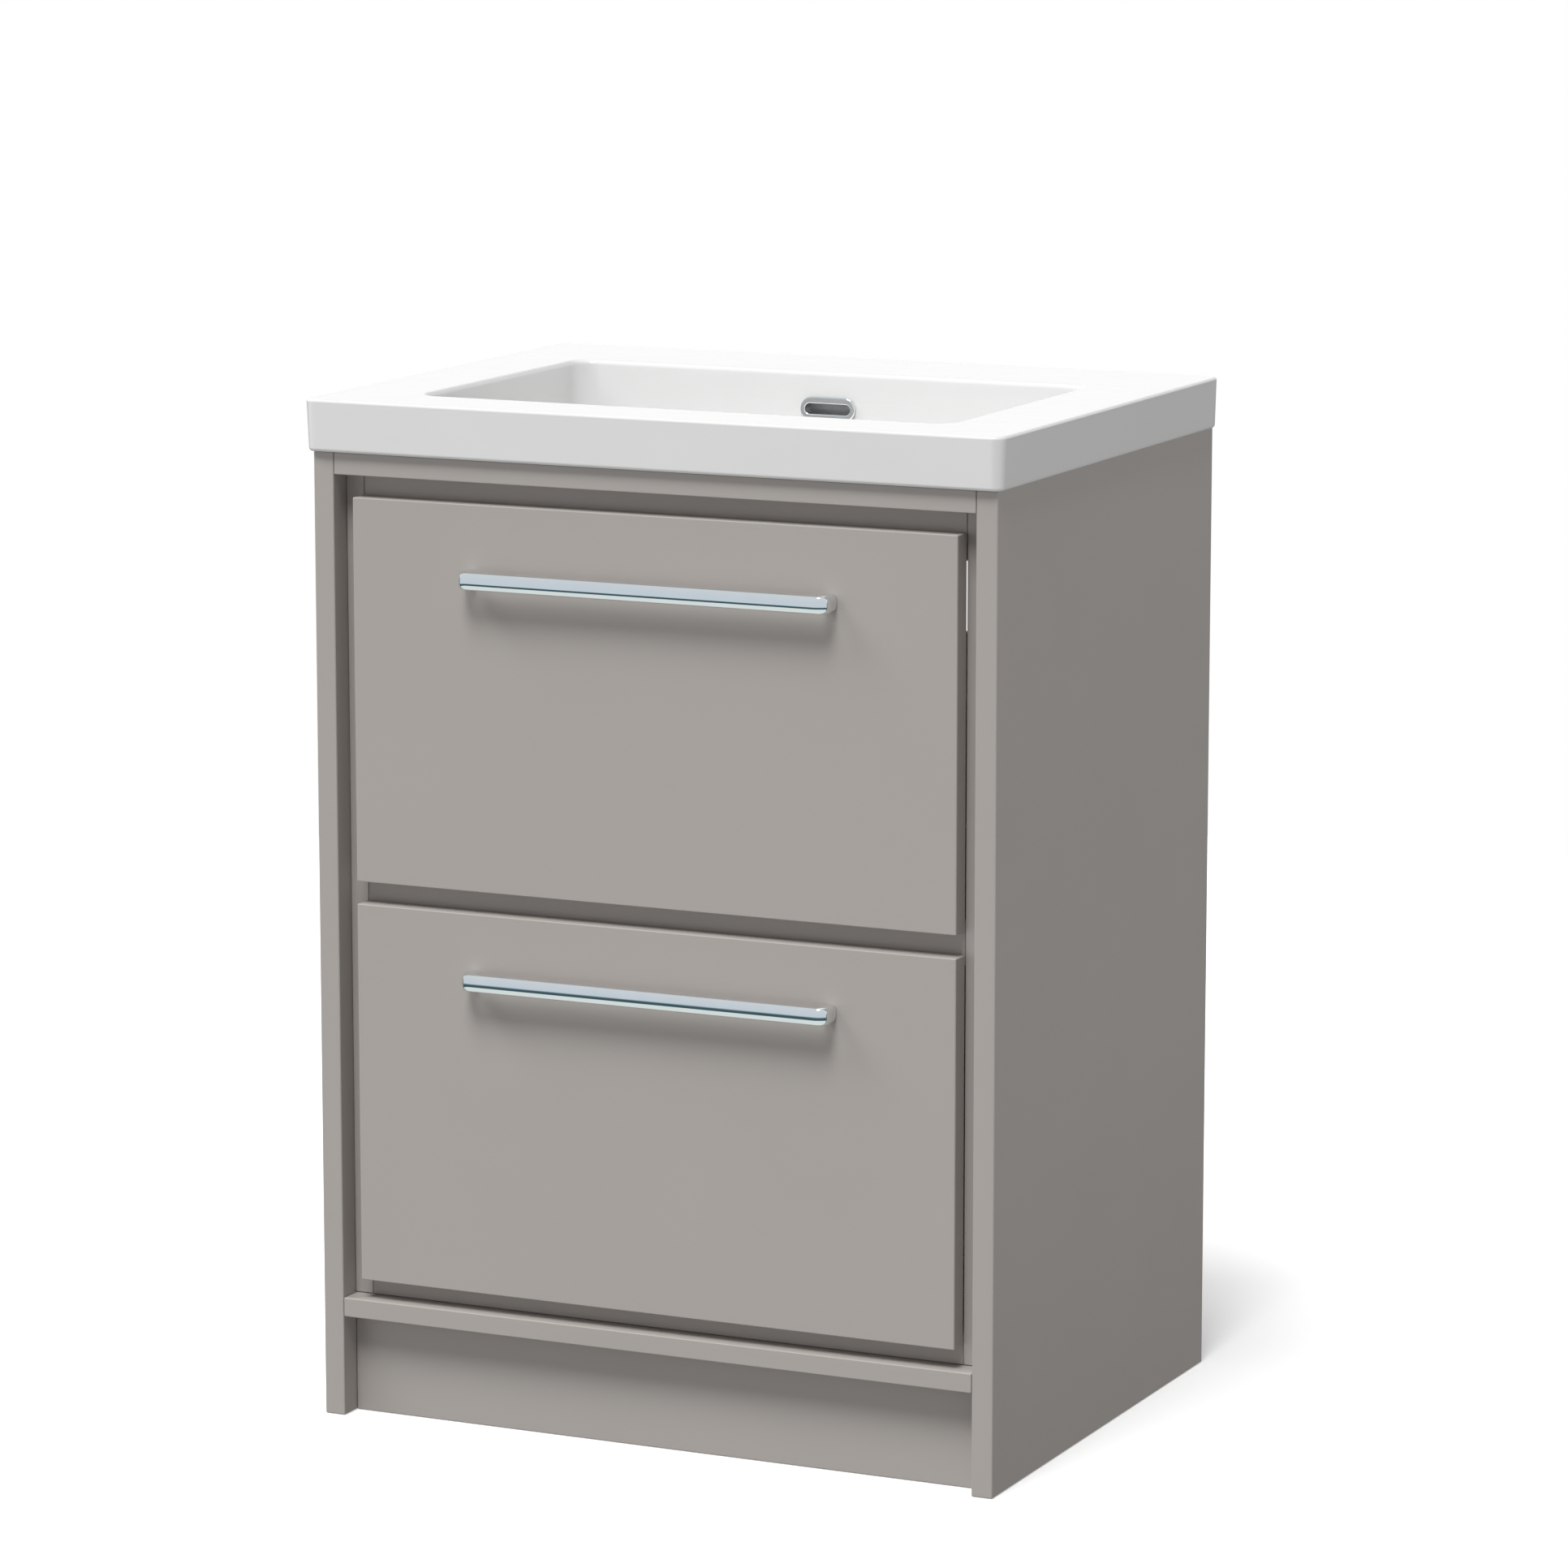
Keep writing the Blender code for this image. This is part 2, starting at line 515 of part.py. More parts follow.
def make_basin(ceramic, chrome, parent):
    """The basin with its bowl, waste hole and overflow hole, and the chrome trim in the overflow."""
    basin = skin("basin", basin_loops(), ceramic, parent, capped=False)
    make_overflow_duct(basin, ceramic, parent)
    tilt = math.atan(BOWL_WALL_SLOPE)
    seat_y = BOWL_BACK_Y - (OVERFLOW_DROP - BOWL_RIM_RADIUS) * BOWL_WALL_SLOPE
    seat = Vector((0, seat_y, BASIN_TOP - OVERFLOW_DROP))

    sleeve_width = OVERFLOW_SLOT_WIDTH + 2 * OVERFLOW_SLEEVE_WALL
    sleeve_height = OVERFLOW_SLOT_HEIGHT + 2 * OVERFLOW_SLEEVE_WALL
    hole = (sleeve_width + 2 * OVERFLOW_FIT, sleeve_height + 2 * OVERFLOW_FIT)
    duct_middle = OVERFLOW_DUCT_SKIN + OVERFLOW_DUCT_DEPTH / 2
    through = [stadium_loop(*hole, -BOWL_WALL), stadium_loop(*hole, duct_middle)]
    cutter = skin("cutter_overflow_hole", through, ceramic, parent, capped=True)
    cutter.location = seat
    cutter.rotation_euler = (-tilt, 0, 0)
    cut(basin, cutter)

    bevel = OVERFLOW_PROUD / 3
    face = -OVERFLOW_PROUD
    back = -CONTACT_GAP
    lip_width = OVERFLOW_SLOT_WIDTH + 2 * bevel
    lip_height = OVERFLOW_SLOT_HEIGHT + 2 * bevel
    trim = [
        stadium_loop(OVERFLOW_SLOT_WIDTH, OVERFLOW_SLOT_HEIGHT, OVERFLOW_SLEEVE_LENGTH),
        stadium_loop(OVERFLOW_SLOT_WIDTH, OVERFLOW_SLOT_HEIGHT, face + bevel),
        stadium_loop(lip_width, lip_height, face),
        stadium_loop(OVERFLOW_WIDTH - 2 * bevel, OVERFLOW_HEIGHT - 2 * bevel, face),
        stadium_loop(OVERFLOW_WIDTH, OVERFLOW_HEIGHT, face + bevel),
        stadium_loop(OVERFLOW_WIDTH, OVERFLOW_HEIGHT, back),
        stadium_loop(sleeve_width, sleeve_height, back),
        stadium_loop(sleeve_width, sleeve_height, OVERFLOW_SLEEVE_LENGTH),
    ]
    ring = skin("overflow_trim", trim, chrome, parent, capped=False)
    ring.location = seat
    ring.rotation_euler = (-tilt, 0, 0)


def handle_section():
    """Depth and height of the handle's cross-section, a superellipse between a circle and a rectangle."""
    power = 2 / HANDLE_SQUARENESS
    points = []
    for i in range(ROUND_SIDES):
        angle = 2 * math.pi * i / ROUND_SIDES
        across, up = math.cos(angle), math.sin(angle)
        a = math.copysign(abs(across) ** power, across) * HANDLE_SECTION_DEPTH / 2
        b = math.copysign(abs(up) ** power, up) * HANDLE_SECTION_HEIGHT / 2
        points.append((a, b))
    return points


def handle_stations(foot_y):
    """Centre and outward direction of the handle's section along its path: leg, bend, bar, bend and leg."""
    leg_x = HANDLE_LENGTH / 2 - HANDLE_SECTION_DEPTH / 2
    bar_y = HANDLE_FRONT + HANDLE_SECTION_DEPTH / 2
    bend = HANDLE_BEND_RADIUS
    half = [(Vector((-leg_x, foot_y, 0)), Vector((-1, 0, 0)))]
    for step in range(BEND_STEPS + 1):
        angle = math.pi / 2 * step / BEND_STEPS
        outward = Vector((-math.cos(angle), -math.sin(angle), 0))
        half.append((Vector((-leg_x + bend, bar_y + bend, 0)) + outward * bend, outward))
    mirrored = [(Vector((-c.x, c.y, 0)), Vector((-d.x, d.y, 0))) for c, d in reversed(half)]
    return half + mirrored


def make_handle(name, height, chrome, zinc, parent):
    """A one-piece chrome handle, held from behind the drawer front by a screw in each leg."""
    section = handle_section()
    loops = []
    for centre, outward in handle_stations(FRONT_SETBACK - CONTACT_GAP):
        loops.append([tuple(centre + outward * a + Vector((0, 0, height + b))) for a, b in section])
    handle = skin(f"{name}_handle", loops, chrome, parent, capped=True)
    leg_x = HANDLE_LENGTH / 2 - HANDLE_SECTION_DEPTH / 2
    hole_radius = SCREW_RADIUS + SCREW_HOLE_CLEARANCE
    tip = FRONT_SETBACK - SCREW_GRIP
    head_face = FRONT_BACK_Y + CONTACT_GAP
    for sign in (-1, 1):
        side = side_name(sign)
        x = sign * leg_x
        bore = [(hole_radius, tip - SCREW_HOLE_CLEARANCE), (hole_radius, FRONT_BACK_Y + FRONT_THICKNESS)]
        hole = turned(f"cutter_{name}_handle_{side}", bore, x, height, zinc, parent)
        cut(handle, hole)
        cut(bpy.data.objects[f"{name}_drawer_front"], hole)
        profile = [
            (SCREW_RADIUS, tip), (SCREW_RADIUS, head_face), (SCREW_HEAD_RADIUS, head_face),
            (SCREW_HEAD_RADIUS * SCREW_HEAD_TAPER, head_face + SCREW_HEAD_HEIGHT),
        ]
        turned(f"{name}_handle_screw_{side}", profile, x, height, zinc, parent)


def grooved_outline(low, high, bottom, top, groove_on_high):
    """Cross-section of a box wall with the groove that takes the bottom panel, on one of its two faces."""
    groove_low = bottom + GROOVE_HEIGHT_ABOVE_EDGE
    groove_high = groove_low + BOX_BOTTOM_THICKNESS + 2 * CONTACT_GAP
    if groove_on_high:
        face, floor, far = high, high - GROOVE_DEPTH, low
    else:
        face, floor, far = low, low + GROOVE_DEPTH, high
    return [
        (far, bottom), (face, bottom), (face, groove_low), (floor, groove_low),
        (floor, groove_high), (face, groove_high), (face, top), (far, top),
    ]


def make_box_walls(name, bottom, top, laminate, parent):
    """The two sides and the sub-front of a drawer box. It returns the box's inner half width."""
    outer = BOX_HALF_WIDTH
    inner = outer - BOX_WALL
    for sign in (-1, 1):
        ends = sorted((sign * outer, sign * inner))
        outline = grooved_outline(ends[0], ends[1], bottom, top, groove_on_high=sign < 0)
        node = f"{name}_box_side_{side_name(sign)}"
        extruded(node, outline, "Y", BOX_FRONT_Y, BOX_BACK_Y, laminate, parent)
    reach = inner - CONTACT_GAP
    outline = grooved_outline(BOX_FRONT_Y, BOX_FRONT_Y + BOX_WALL, bottom, top, groove_on_high=True)
    extruded(f"{name}_box_subfront", outline, "X", -reach, reach, laminate, parent)
    return inner


def make_bottom(name, outline, bottom, laminate, parent):
    low = bottom + GROOVE_HEIGHT_ABOVE_EDGE + CONTACT_GAP
    extruded(f"{name}_box_bottom", outline, "Z", low, low + BOX_BOTTOM_THICKNESS, laminate, parent)


def make_lower_box(bottom, top, laminate, parent):
    """A plain rectangular drawer box."""
    inner = make_box_walls("lower", bottom, top, laminate, parent)
    reach = inner - CONTACT_GAP
    back_front = BOX_BACK_Y - BOX_WALL
    outline = grooved_outline(back_front, BOX_BACK_Y, bottom, top, groove_on_high=False)
    extruded("lower_box_back", outline, "X", -reach, reach, laminate, parent)
    tongue = GROOVE_DEPTH - CONTACT_GAP
    x = inner + tongue
    front = BOX_FRONT_Y + BOX_WALL - tongue
    back = back_front + tongue
    make_bottom("lower", [(-x, front), (x, front), (x, back), (-x, back)], bottom, laminate, parent)


def make_upper_box(bottom, top, laminate, parent):
    """A drawer box that goes round a bay for the waste trap, open at the back."""
    inner = make_box_walls("upper", bottom, top, laminate, parent)
    bay_half = TRAP_BAY_WIDTH / 2
    bay_outer = bay_half + BOX_WALL
    bay_front = WASTE_Y - TRAP_BAY_AHEAD_OF_WASTE
    wall_front = bay_front - BOX_WALL
    back_front = BOX_BACK_Y - BOX_WALL
    tongue = GROOVE_DEPTH - CONTACT_GAP
    for sign in (-1, 1):
        side = side_name(sign)
        ends = sorted((sign * bay_half, sign * bay_outer))
        outline = grooved_outline(ends[0], ends[1], bottom, top, groove_on_high=sign > 0)
        extruded(f"upper_box_bay_side_{side}", outline, "Y", wall_front, BOX_BACK_Y, laminate, parent)
        outline = grooved_outline(back_front, BOX_BACK_Y, bottom, top, groove_on_high=False)
        ends = sorted((sign * (inner - CONTACT_GAP), sign * (bay_outer + CONTACT_GAP)))
        extruded(f"upper_box_back_{side}", outline, "X", *ends, laminate, parent)
    reach = bay_half - CONTACT_GAP
    low, high = (-reach, wall_front, bottom), (reach, bay_front, top)
    board("upper_box_bay_front", low, high, laminate, parent, bevel=0)
    x = inner + tongue
    notch = bay_outer - tongue
    front = BOX_FRONT_Y + BOX_WALL - tongue
    notch_front = wall_front - CONTACT_GAP
    back = back_front + tongue
    outline = [
        (-x, front), (x, front), (x, back), (notch, back),
        (notch, notch_front), (-notch, notch_front), (-notch, back), (-x, back),
    ]
    make_bottom("upper", outline, bottom, laminate, parent)


def channel(web_x, lip_x, half_height, sheet):
    """Cross-section of a folded steel channel: a web at web_x with two lips that reach to lip_x."""
    inside = web_x + math.copysign(sheet, lip_x - web_x)
    outer_z, inner_z = half_height, half_height - sheet
    return [
        (web_x, -outer_z), (lip_x, -outer_z), (lip_x, -inner_z), (inside, -inner_z),
        (inside, inner_z), (lip_x, inner_z), (lip_x, outer_z), (web_x, outer_z),
    ]


def make_runner(name, sign, height, zinc, bodies):
    """A three-part extending runner between the carcass side and the box side."""
    side = side_name(sign)
    sheet, gap = RUNNER_SHEET, RUNNER_BALL_GAP
    wall = CARCASS_INNER_X - CONTACT_GAP
    box = BOX_HALF_WIDTH + CONTACT_GAP
    half = RUNNER_HEIGHT / 2
    middle_web = wall - sheet - gap
    middle_half = half - sheet - gap
    drawer_half = middle_half - sheet - gap
    members = {
        "cabinet": (channel(wall, box + sheet + gap, half, sheet), bodies["cabinet"]),
        "middle": (channel(middle_web, box + sheet + gap / 2, middle_half, sheet), bodies["middle"]),
        "drawer": (channel(box, middle_web - sheet - gap, drawer_half, sheet), bodies["drawer"]),
    }
    for member, (section, parent) in members.items():
        outline = [(sign * x, height + z) for x, z in section]
        extruded(
            f"{name}_runner_{member}_{side}", outline, "Y", RUNNER_Y, RUNNER_Y + RUNNER_LENGTH, zinc, parent
        )


def make_drawer(name, front_bottom, box_bottom, box_top, handle_drop, materials, cabinet):
    """A drawer: its front, handle, box and runners, on an empty on its slide's axis."""
    axis_height = box_bottom + RUNNER_ABOVE_BOX_EDGE
    drawer = empty(f"{name}_drawer_slide", (0, RUNNER_Y, axis_height), cabinet)
    middle = empty(f"{name}_runner_slide", (0, RUNNER_Y, axis_height), cabinet)
    half = FRONT_HALF_WIDTH
    front_top = front_bottom + FRONT_HEIGHT
    low = (-half, FRONT_SETBACK, front_bottom)
    board(f"{name}_drawer_front", low, (half, FRONT_BACK_Y, front_top), materials["painted"], drawer)
    make_handle(name, front_top - handle_drop, materials["chrome"], materials["zinc"], drawer)
    make_box = {"upper": make_upper_box, "lower": make_lower_box}[name]
    make_box(box_bottom, box_top, materials["laminate"], drawer)
    bodies = {"cabinet": cabinet, "middle": middle, "drawer": drawer}
    for sign in (-1, 1):
        make_runner(name, sign, axis_height, materials["zinc"], bodies)


def main():
    for item in list(bpy.data.objects):
        bpy.data.objects.remove(item, do_unlink=True)
    materials = make_materials()
    cabinet = empty("cabinet_front", (0, FRONT_PLANE_Y, 0))
    make_cabinet(materials["painted"], materials["backing"], materials["plastic"], cabinet)
    make_basin(materials["ceramic"], materials["chrome"], cabinet)
    make_drawer(
        "upper", UPPER_FRONT_BOTTOM, UPPER_BOX_BOTTOM, UPPER_BOX_TOP, HANDLE_DROP_UPPER, materials, cabinet
    )
    make_drawer(
        "lower", LOWER_FRONT_BOTTOM, LOWER_BOX_BOTTOM, LOWER_BOX_TOP, HANDLE_DROP_LOWER, materials, cabinet
    )


main()
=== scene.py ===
"""Looks of the floor-standing bathroom vanity cabinet: painted boards, glazed basin, chrome and light.

Metres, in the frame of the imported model: +Z up, the drawers face -Y, the wall is at +Y. Every new piece is a
surface worked out on a grid of two parameters, and it takes its place from the node that it stands for.
"""

import json
import math

import bpy
import numpy as np
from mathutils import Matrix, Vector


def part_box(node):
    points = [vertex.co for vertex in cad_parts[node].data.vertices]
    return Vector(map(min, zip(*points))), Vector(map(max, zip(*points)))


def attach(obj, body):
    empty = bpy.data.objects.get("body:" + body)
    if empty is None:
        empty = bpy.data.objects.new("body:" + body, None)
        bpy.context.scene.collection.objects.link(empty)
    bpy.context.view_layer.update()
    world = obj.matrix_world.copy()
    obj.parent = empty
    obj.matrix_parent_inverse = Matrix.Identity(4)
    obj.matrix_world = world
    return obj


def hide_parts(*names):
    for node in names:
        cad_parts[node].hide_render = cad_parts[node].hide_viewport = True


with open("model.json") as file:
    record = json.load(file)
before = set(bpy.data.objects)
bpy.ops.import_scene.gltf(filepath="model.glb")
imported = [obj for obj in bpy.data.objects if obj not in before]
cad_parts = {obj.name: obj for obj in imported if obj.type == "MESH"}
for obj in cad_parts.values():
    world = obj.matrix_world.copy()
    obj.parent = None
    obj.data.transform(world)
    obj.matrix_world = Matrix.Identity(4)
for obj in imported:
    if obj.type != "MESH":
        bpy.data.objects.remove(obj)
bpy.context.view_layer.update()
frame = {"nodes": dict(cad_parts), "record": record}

# Boards
BOARD_CORNER = 0.0011
BOARD_EASE = 0.0009
BOX_CORNER = 0.0005
BOX_EASE = 0.0004
ARC_STEPS = 6
HALF_CIRCLE_SHARE = 0.9999
BOX_GROOVE_DEPTH = 0.006
FIT_GAP = 0.0003
WALL_HOLE_RADIUS = 0.004
WALL_HOLE_INSET = 0.080
PIPE_NOTCH_HALF = 0.130
PIPE_NOTCH_HEIGHT = 0.200

# Runners and screws
RUNNER_SHEET = 0.0012
RUNNER_FOLD = 0.0022
RUNNER_LIP_EASE = 0.0003
SCREW_RADIUS = 0.002
SCREW_HEAD_RADIUS = 0.004
SCREW_HEAD_FACE = 0.0028
SCREW_HEAD_HEIGHT = 0.0025
SCREW_TIP = 0.0008
SCREW_RECESS = 0.0016
SCREW_RECESS_DEPTH = 0.0018

# Handles
HANDLE_DEPTH = 0.0094
HANDLE_BEND = 0.0053
HANDLE_SQUARENESS = 2.8
HANDLE_FOOT_EASE = 0.0006

# Basin
SKIRT_THICKNESS = 0.014
DECK_THICKNESS = 0.011
BASIN_CORNER = 0.010
SKIRT_INNER_CORNER = 0.002
BASIN_TOP_EDGE = 0.0025
BASIN_BOTTOM_EDGE = 0.003
BASIN_DRAFT = 0.0015
SIDE_DECK = 0.073
FRONT_DECK = 0.064
REAR_DECK = 0.110
BOWL_CORNER = 0.018
BOWL_CORNER_GROWTH = 0.6
BOWL_RIM_EDGE = 0.0045
BOWL_WALL = 0.011
BOWL_WALL_DEPTH = 0.075
BOWL_WALL_SLOPE = 0.07
BOWL_FLOOR_BEND = 0.040
BOWL_FALL = 0.005
WASTE_RADIUS = 0.023
WASTE_EDGE = 0.002
BOSS_RADIUS = 0.038

# Overflow
OVERFLOW_DROP = 0.031
OVERFLOW_RING = np.array([0.050, 0.0204])
OVERFLOW_SLOT = np.array([0.041, 0.0084])
OVERFLOW_PROUD = 0.0034
OVERFLOW_SLEEVE_WALL = 0.0018
OVERFLOW_SLEEVE_LENGTH = 0.008
OVERFLOW_HOLE_GROWTH = 0.0006
DUCT_WIDTH = 0.056
DUCT_DEPTH = 0.010
DUCT_SKIN = 0.007
DUCT_HEAD = 0.012

# Camera, from the cabinet's front left foot
CAMERA_FROM_FOOT = (2.52208, -4.52502, 1.44721)
CAMERA_AZIMUTH = 24.954
CAMERA_ELEVATION = 10.077
CAMERA_LENS = 147.91
CAMERA_SHIFT = 0.0017

# Light: azimuth, elevation and width in degrees, strength, and whether gloss shows it
LAMPS = {
    "key_light": (4, 62, 22, 0.74, True),
    "left_light": (-69, 48, 24, 0.38, False),
    "right_light": (100, 2, 20, 0.15, False),
    "low_fill": (-40, 5, 40, 0.09, False),
}
AMBIENT = [(-90, 0.45), (-1, 0.45), (1, 0.225), (90, 0.225)]
ROOM_BEHIND = [(-90, 0.13), (-6, 0.13), (4, 0.98), (18, 0.98), (28, 0.25), (90, 0.25)]
ROOM_IN_FRONT = [
    (-90, (0.74, 0.80, 0.78)),
    (-23, (0.74, 0.80, 0.78)),
    (-21, (0.05, 0.10, 0.12)),
    (-13, (0.05, 0.10, 0.12)),
    (-11.5, (0.60, 0.67, 0.73)),
    (30, (0.66, 0.70, 0.73)),
    (90, (0.66, 0.70, 0.73)),
]
FLOOR_RADIUS = 2.6
FLOOR_DROP = 0.0005
FLOOR_GLOW = 0.3


# ---------------------------------------------------------------- surfaces

def smooth(mesh):
    """Shade smooth with each point's normal as the sum of its faces' normals times their areas.

    A wide flat face then keeps its own normal right up to the narrow rounded strips that border it.
    """
    count = len(mesh.polygons)
    normal, area = np.empty(count * 3, np.float32), np.empty(count, np.float32)
    sizes, corners = np.empty(count, np.int32), np.empty(len(mesh.loops), np.int32)
    mesh.polygons.foreach_get("normal", normal)
    mesh.polygons.foreach_get("area", area)
    mesh.polygons.foreach_get("loop_total", sizes)
    mesh.loops.foreach_get("vertex_index", corners)
    weighted = np.repeat(normal.reshape(-1, 3) * area[:, None], sizes, axis=0).astype(float)
    total = np.zeros((len(mesh.vertices), 3))
    np.add.at(total, corners, weighted)
    total /= np.maximum(np.linalg.norm(total, axis=1, keepdims=True), 1e-12)
    mesh.polygons.foreach_set("use_smooth", np.ones(count, bool))
    mesh.normals_split_custom_set_from_vertices(total)


def solid(name, points, quads, caps=()):
    """A closed mesh of quads and flat caps, turned so that its faces point out, and shaded smooth."""
    sizes = np.array([4] * len(quads) + [len(cap) for cap in caps], np.int32)
    corners = np.concatenate([np.ravel(quads), *caps]).astype(np.int32)
    mesh = bpy.data.meshes.new(name)
    mesh.vertices.add(len(points))
    mesh.vertices.foreach_set("co", np.ravel(points).astype(np.float32))
    mesh.loops.add(len(corners))
    mesh.loops.foreach_set("vertex_index", corners)
    mesh.polygons.add(len(sizes))
    mesh.polygons.foreach_set("loop_start", np.cumsum(sizes) - sizes)
    mesh.update(calc_edges=True)
    first = points[quads[:, 0]]
    spans = np.cross(points[quads[:, 1]] - first, points[quads[:, 2]] - first)
    spans += np.cross(points[quads[:, 2]] - first, points[quads[:, 3]] - first)
    centre = points.mean(axis=0)
    if (spans * (first - centre)).sum() < 0:
        mesh.flip_normals()
    smooth(mesh)
    return mesh


def ring_quads(rows, columns, close_rows):
    """Quads of a grid whose rows are closed rings, and whose last row joins the first if close_rows."""
    row = np.arange(rows if close_rows else rows - 1)[:, None]
    column = np.arange(columns)[None, :]
    following, beside = (row + 1) % rows, (column + 1) % columns
    corners = [(row, column), (row, beside), (following, beside), (following, column)]
    return np.stack([ring * columns + point for ring, point in corners], axis=-1).reshape(-1, 4)


def rings(name, grid, close_rows=False):
    """A solid through rings of points (ring, point, coordinate), with flat ends unless closed."""
    rows, columns = grid.shape[:2]
    quads = ring_quads(rows, columns, close_rows)
    caps = () if close_rows else (np.arange(columns)[::-1], np.arange(columns) + (rows - 1) * columns)
    return solid(name, grid.reshape(-1, 3), quads, caps)


def rounded(corners, radius, steps=ARC_STEPS):
    """An outline with each corner rounded: its points and their outward normals, counter-clockwise.

    A corner's arc has its centre on the bisector, so that it touches both sides, and its normal turns evenly
    from one side's to the next. At a hollow corner the centre is outside and the arc bends the other way.
    The radius is one number, or one for each corner.
    """
    corners = np.asarray(corners, float)
    side = np.roll(corners, -1, axis=0) - corners
    side /= np.linalg.norm(side, axis=1, keepdims=True)
    after = np.stack([side[:, 1], -side[:, 0]], axis=1)
    before = np.roll(after, 1, axis=0)
    alike = (before * after).sum(axis=1)
    turn = np.arctan2(before[:, 0] * after[:, 1] - before[:, 1] * after[:, 0], alike)
    bend = (np.sign(turn) * radius)[:, None]
    centre = corners - bend * (before + after) / (1 + alike)[:, None]
    angle = np.arctan2(before[:, 1], before[:, 0])[:, None] + turn[:, None] * np.linspace(0, 1, steps + 1)
    normal = np.stack([np.cos(angle), np.sin(angle)], axis=-1)
    points = centre[:, None] + bend[:, None] * normal
    return points.reshape(-1, 2), normal.reshape(-1, 2)


AXES = {"X": (1, 2, 0), "Y": (0, 2, 1), "Z": (0, 1, 2)}


def eased_bar(name, corners, axis, low, high, corner, ease, steps=ARC_STEPS):
    """A bar of one outline along an axis, with eased ends.

    At both ends the outline is drawn in by ease times one minus the sine of an angle, while it moves along
    the axis by ease times one minus the cosine, which is a quarter of a circle.
    """
    outline, normal = rounded(corners, corner, steps)
    angle = np.linspace(0, math.pi / 2, steps + 1)
    inset = np.concatenate([ease * (1 - np.sin(angle)), ease * (1 - np.sin(angle[::-1]))])
    along = np.concatenate([low + ease * (1 - np.cos(angle)), high - ease * (1 - np.cos(angle[::-1]))])
    flat = outline[None] - normal[None] * inset[:, None, None]
    grid = np.empty((len(along), len(outline), 3))
    first, second, third = AXES[axis]
    grid[..., first], grid[..., second] = flat[..., 0], flat[..., 1]
    grid[..., third] = along[:, None]
    return rings(name, grid)


def rectangle(low_a, high_a, low_b, high_b):
    return [(low_a, low_b), (high_a, low_b), (high_a, high_b), (low_a, high_b)]


def ring_outlines(half_x, low_y, high_y, radius, z, steps=16):
    """Level rings round the basin's middle plane, one for each entry: rectangles with round corners."""
    columns = (half_x, low_y, high_y, radius, z)
    half_x, low_y, high_y, radius, z = (np.asarray(column, float)[:, None, None] for column in columns)
    turn = np.linspace(0, math.pi / 2, steps + 1)[None, None, :]
    quarter = np.arange(4)[None, :, None]
    angle = turn + quarter * math.pi / 2
    sign_x = np.array([1, -1, -1, 1])[None, :, None]
    is_high = np.array([1, 1, 0, 0])[None, :, None]
    x = sign_x * (half_x - radius) + radius * np.cos(angle)
    y = np.where(is_high, high_y - radius, low_y + radius) + radius * np.sin(angle)
    return np.stack([x, y, np.broadcast_to(z, x.shape)], axis=-1).reshape(len(half_x), -1, 3)


# ---------------------------------------------------------------- materials

def node(tree, kind, at, **values):
    """A node with its settings, and its inputs by name or number."""
    made = tree.nodes.new(kind)
    made.location = at
    for key, value in values.items():
        if hasattr(made, key):
            setattr(made, key, value)
        else:
            made.inputs[key.replace("_", " ")].default_value = value
    return made


def start_material(name, colour, roughness, metallic=0.0):
    """A Principled material with its plain values on the shader's own sockets.

    Returns the material, its tree and its shader.
    """
    material = bpy.data.materials.new(name)
    material.use_nodes = True
    tree = material.node_tree
    shader = tree.nodes["Principled BSDF"]
    shader.inputs["Base Color"].default_value = (*colour, 1.0)
    shader.inputs["Roughness"].default_value = roughness
    shader.inputs["Metallic"].default_value = metallic
    return material, tree, shader


def object_noise(tree, scale, detail=2.0, stretch=(1.0, 1.0, 1.0), at=(-900, 0)):
    """Noise on Object coordinates, drawn out by stretch. Returns its factor socket."""
    place = node(tree, "ShaderNodeTexCoord", (at[0] - 400, at[1]))
    mapping = node(tree, "ShaderNodeMapping", (at[0] - 200, at[1]))
    mapping.inputs["Scale"].default_value = stretch
    noise = node(tree, "ShaderNodeTexNoise", at, Scale=scale, Detail=detail)
    tree.links.new(place.outputs["Object"], mapping.inputs["Vector"])
    tree.links.new(mapping.outputs["Vector"], noise.inputs["Vector"])
    return noise.outputs["Fac"]


def spread(tree, factor, low, high, at=(-600, 0)):
    """The factor's middle range mapped to low and high. Returns a socket."""
    ranged = node(tree, "ShaderNodeMapRange", at)
    for socket, value in (("From Min", 0.3), ("From Max", 0.7), ("To Min", low), ("To Max", high)):
        ranged.inputs[socket].default_value = value
    tree.links.new(factor, ranged.inputs["Value"])
    return ranged.outputs["Result"]


def mottle(tree, shader, factor, colour, share, at=(-600, 300)):
    """Base colour from a shade darker than the given one to a shade lighter, by the factor's middle range."""
    ramp = node(tree, "ShaderNodeValToRGB", at)
    for element, position, sign in zip(ramp.color_ramp.elements, (0.3, 0.7), (-1, 1)):
        element.position = position
        element.color = (*(min(c * (1 + sign * share), 1.0) for c in colour), 1.0)
    tree.links.new(factor, ramp.inputs["Fac"])
    tree.links.new(ramp.outputs["Color"], shader.inputs["Base Color"])


def uneven_gloss(tree, shader, factor, low, high):
    """Roughness from low to high by the factor's middle range."""
    tree.links.new(spread(tree, factor, low, high), shader.inputs["Roughness"])


def relief(tree, shader, factor, distance, strength=1.0, at=(-350, -300)):
    """Bump of the given height in metres."""
    bump = node(tree, "ShaderNodeBump", at, Strength=strength, Distance=distance)
    tree.links.new(factor, bump.inputs["Height"])
    tree.links.new(bump.outputs["Normal"], shader.inputs["Normal"])


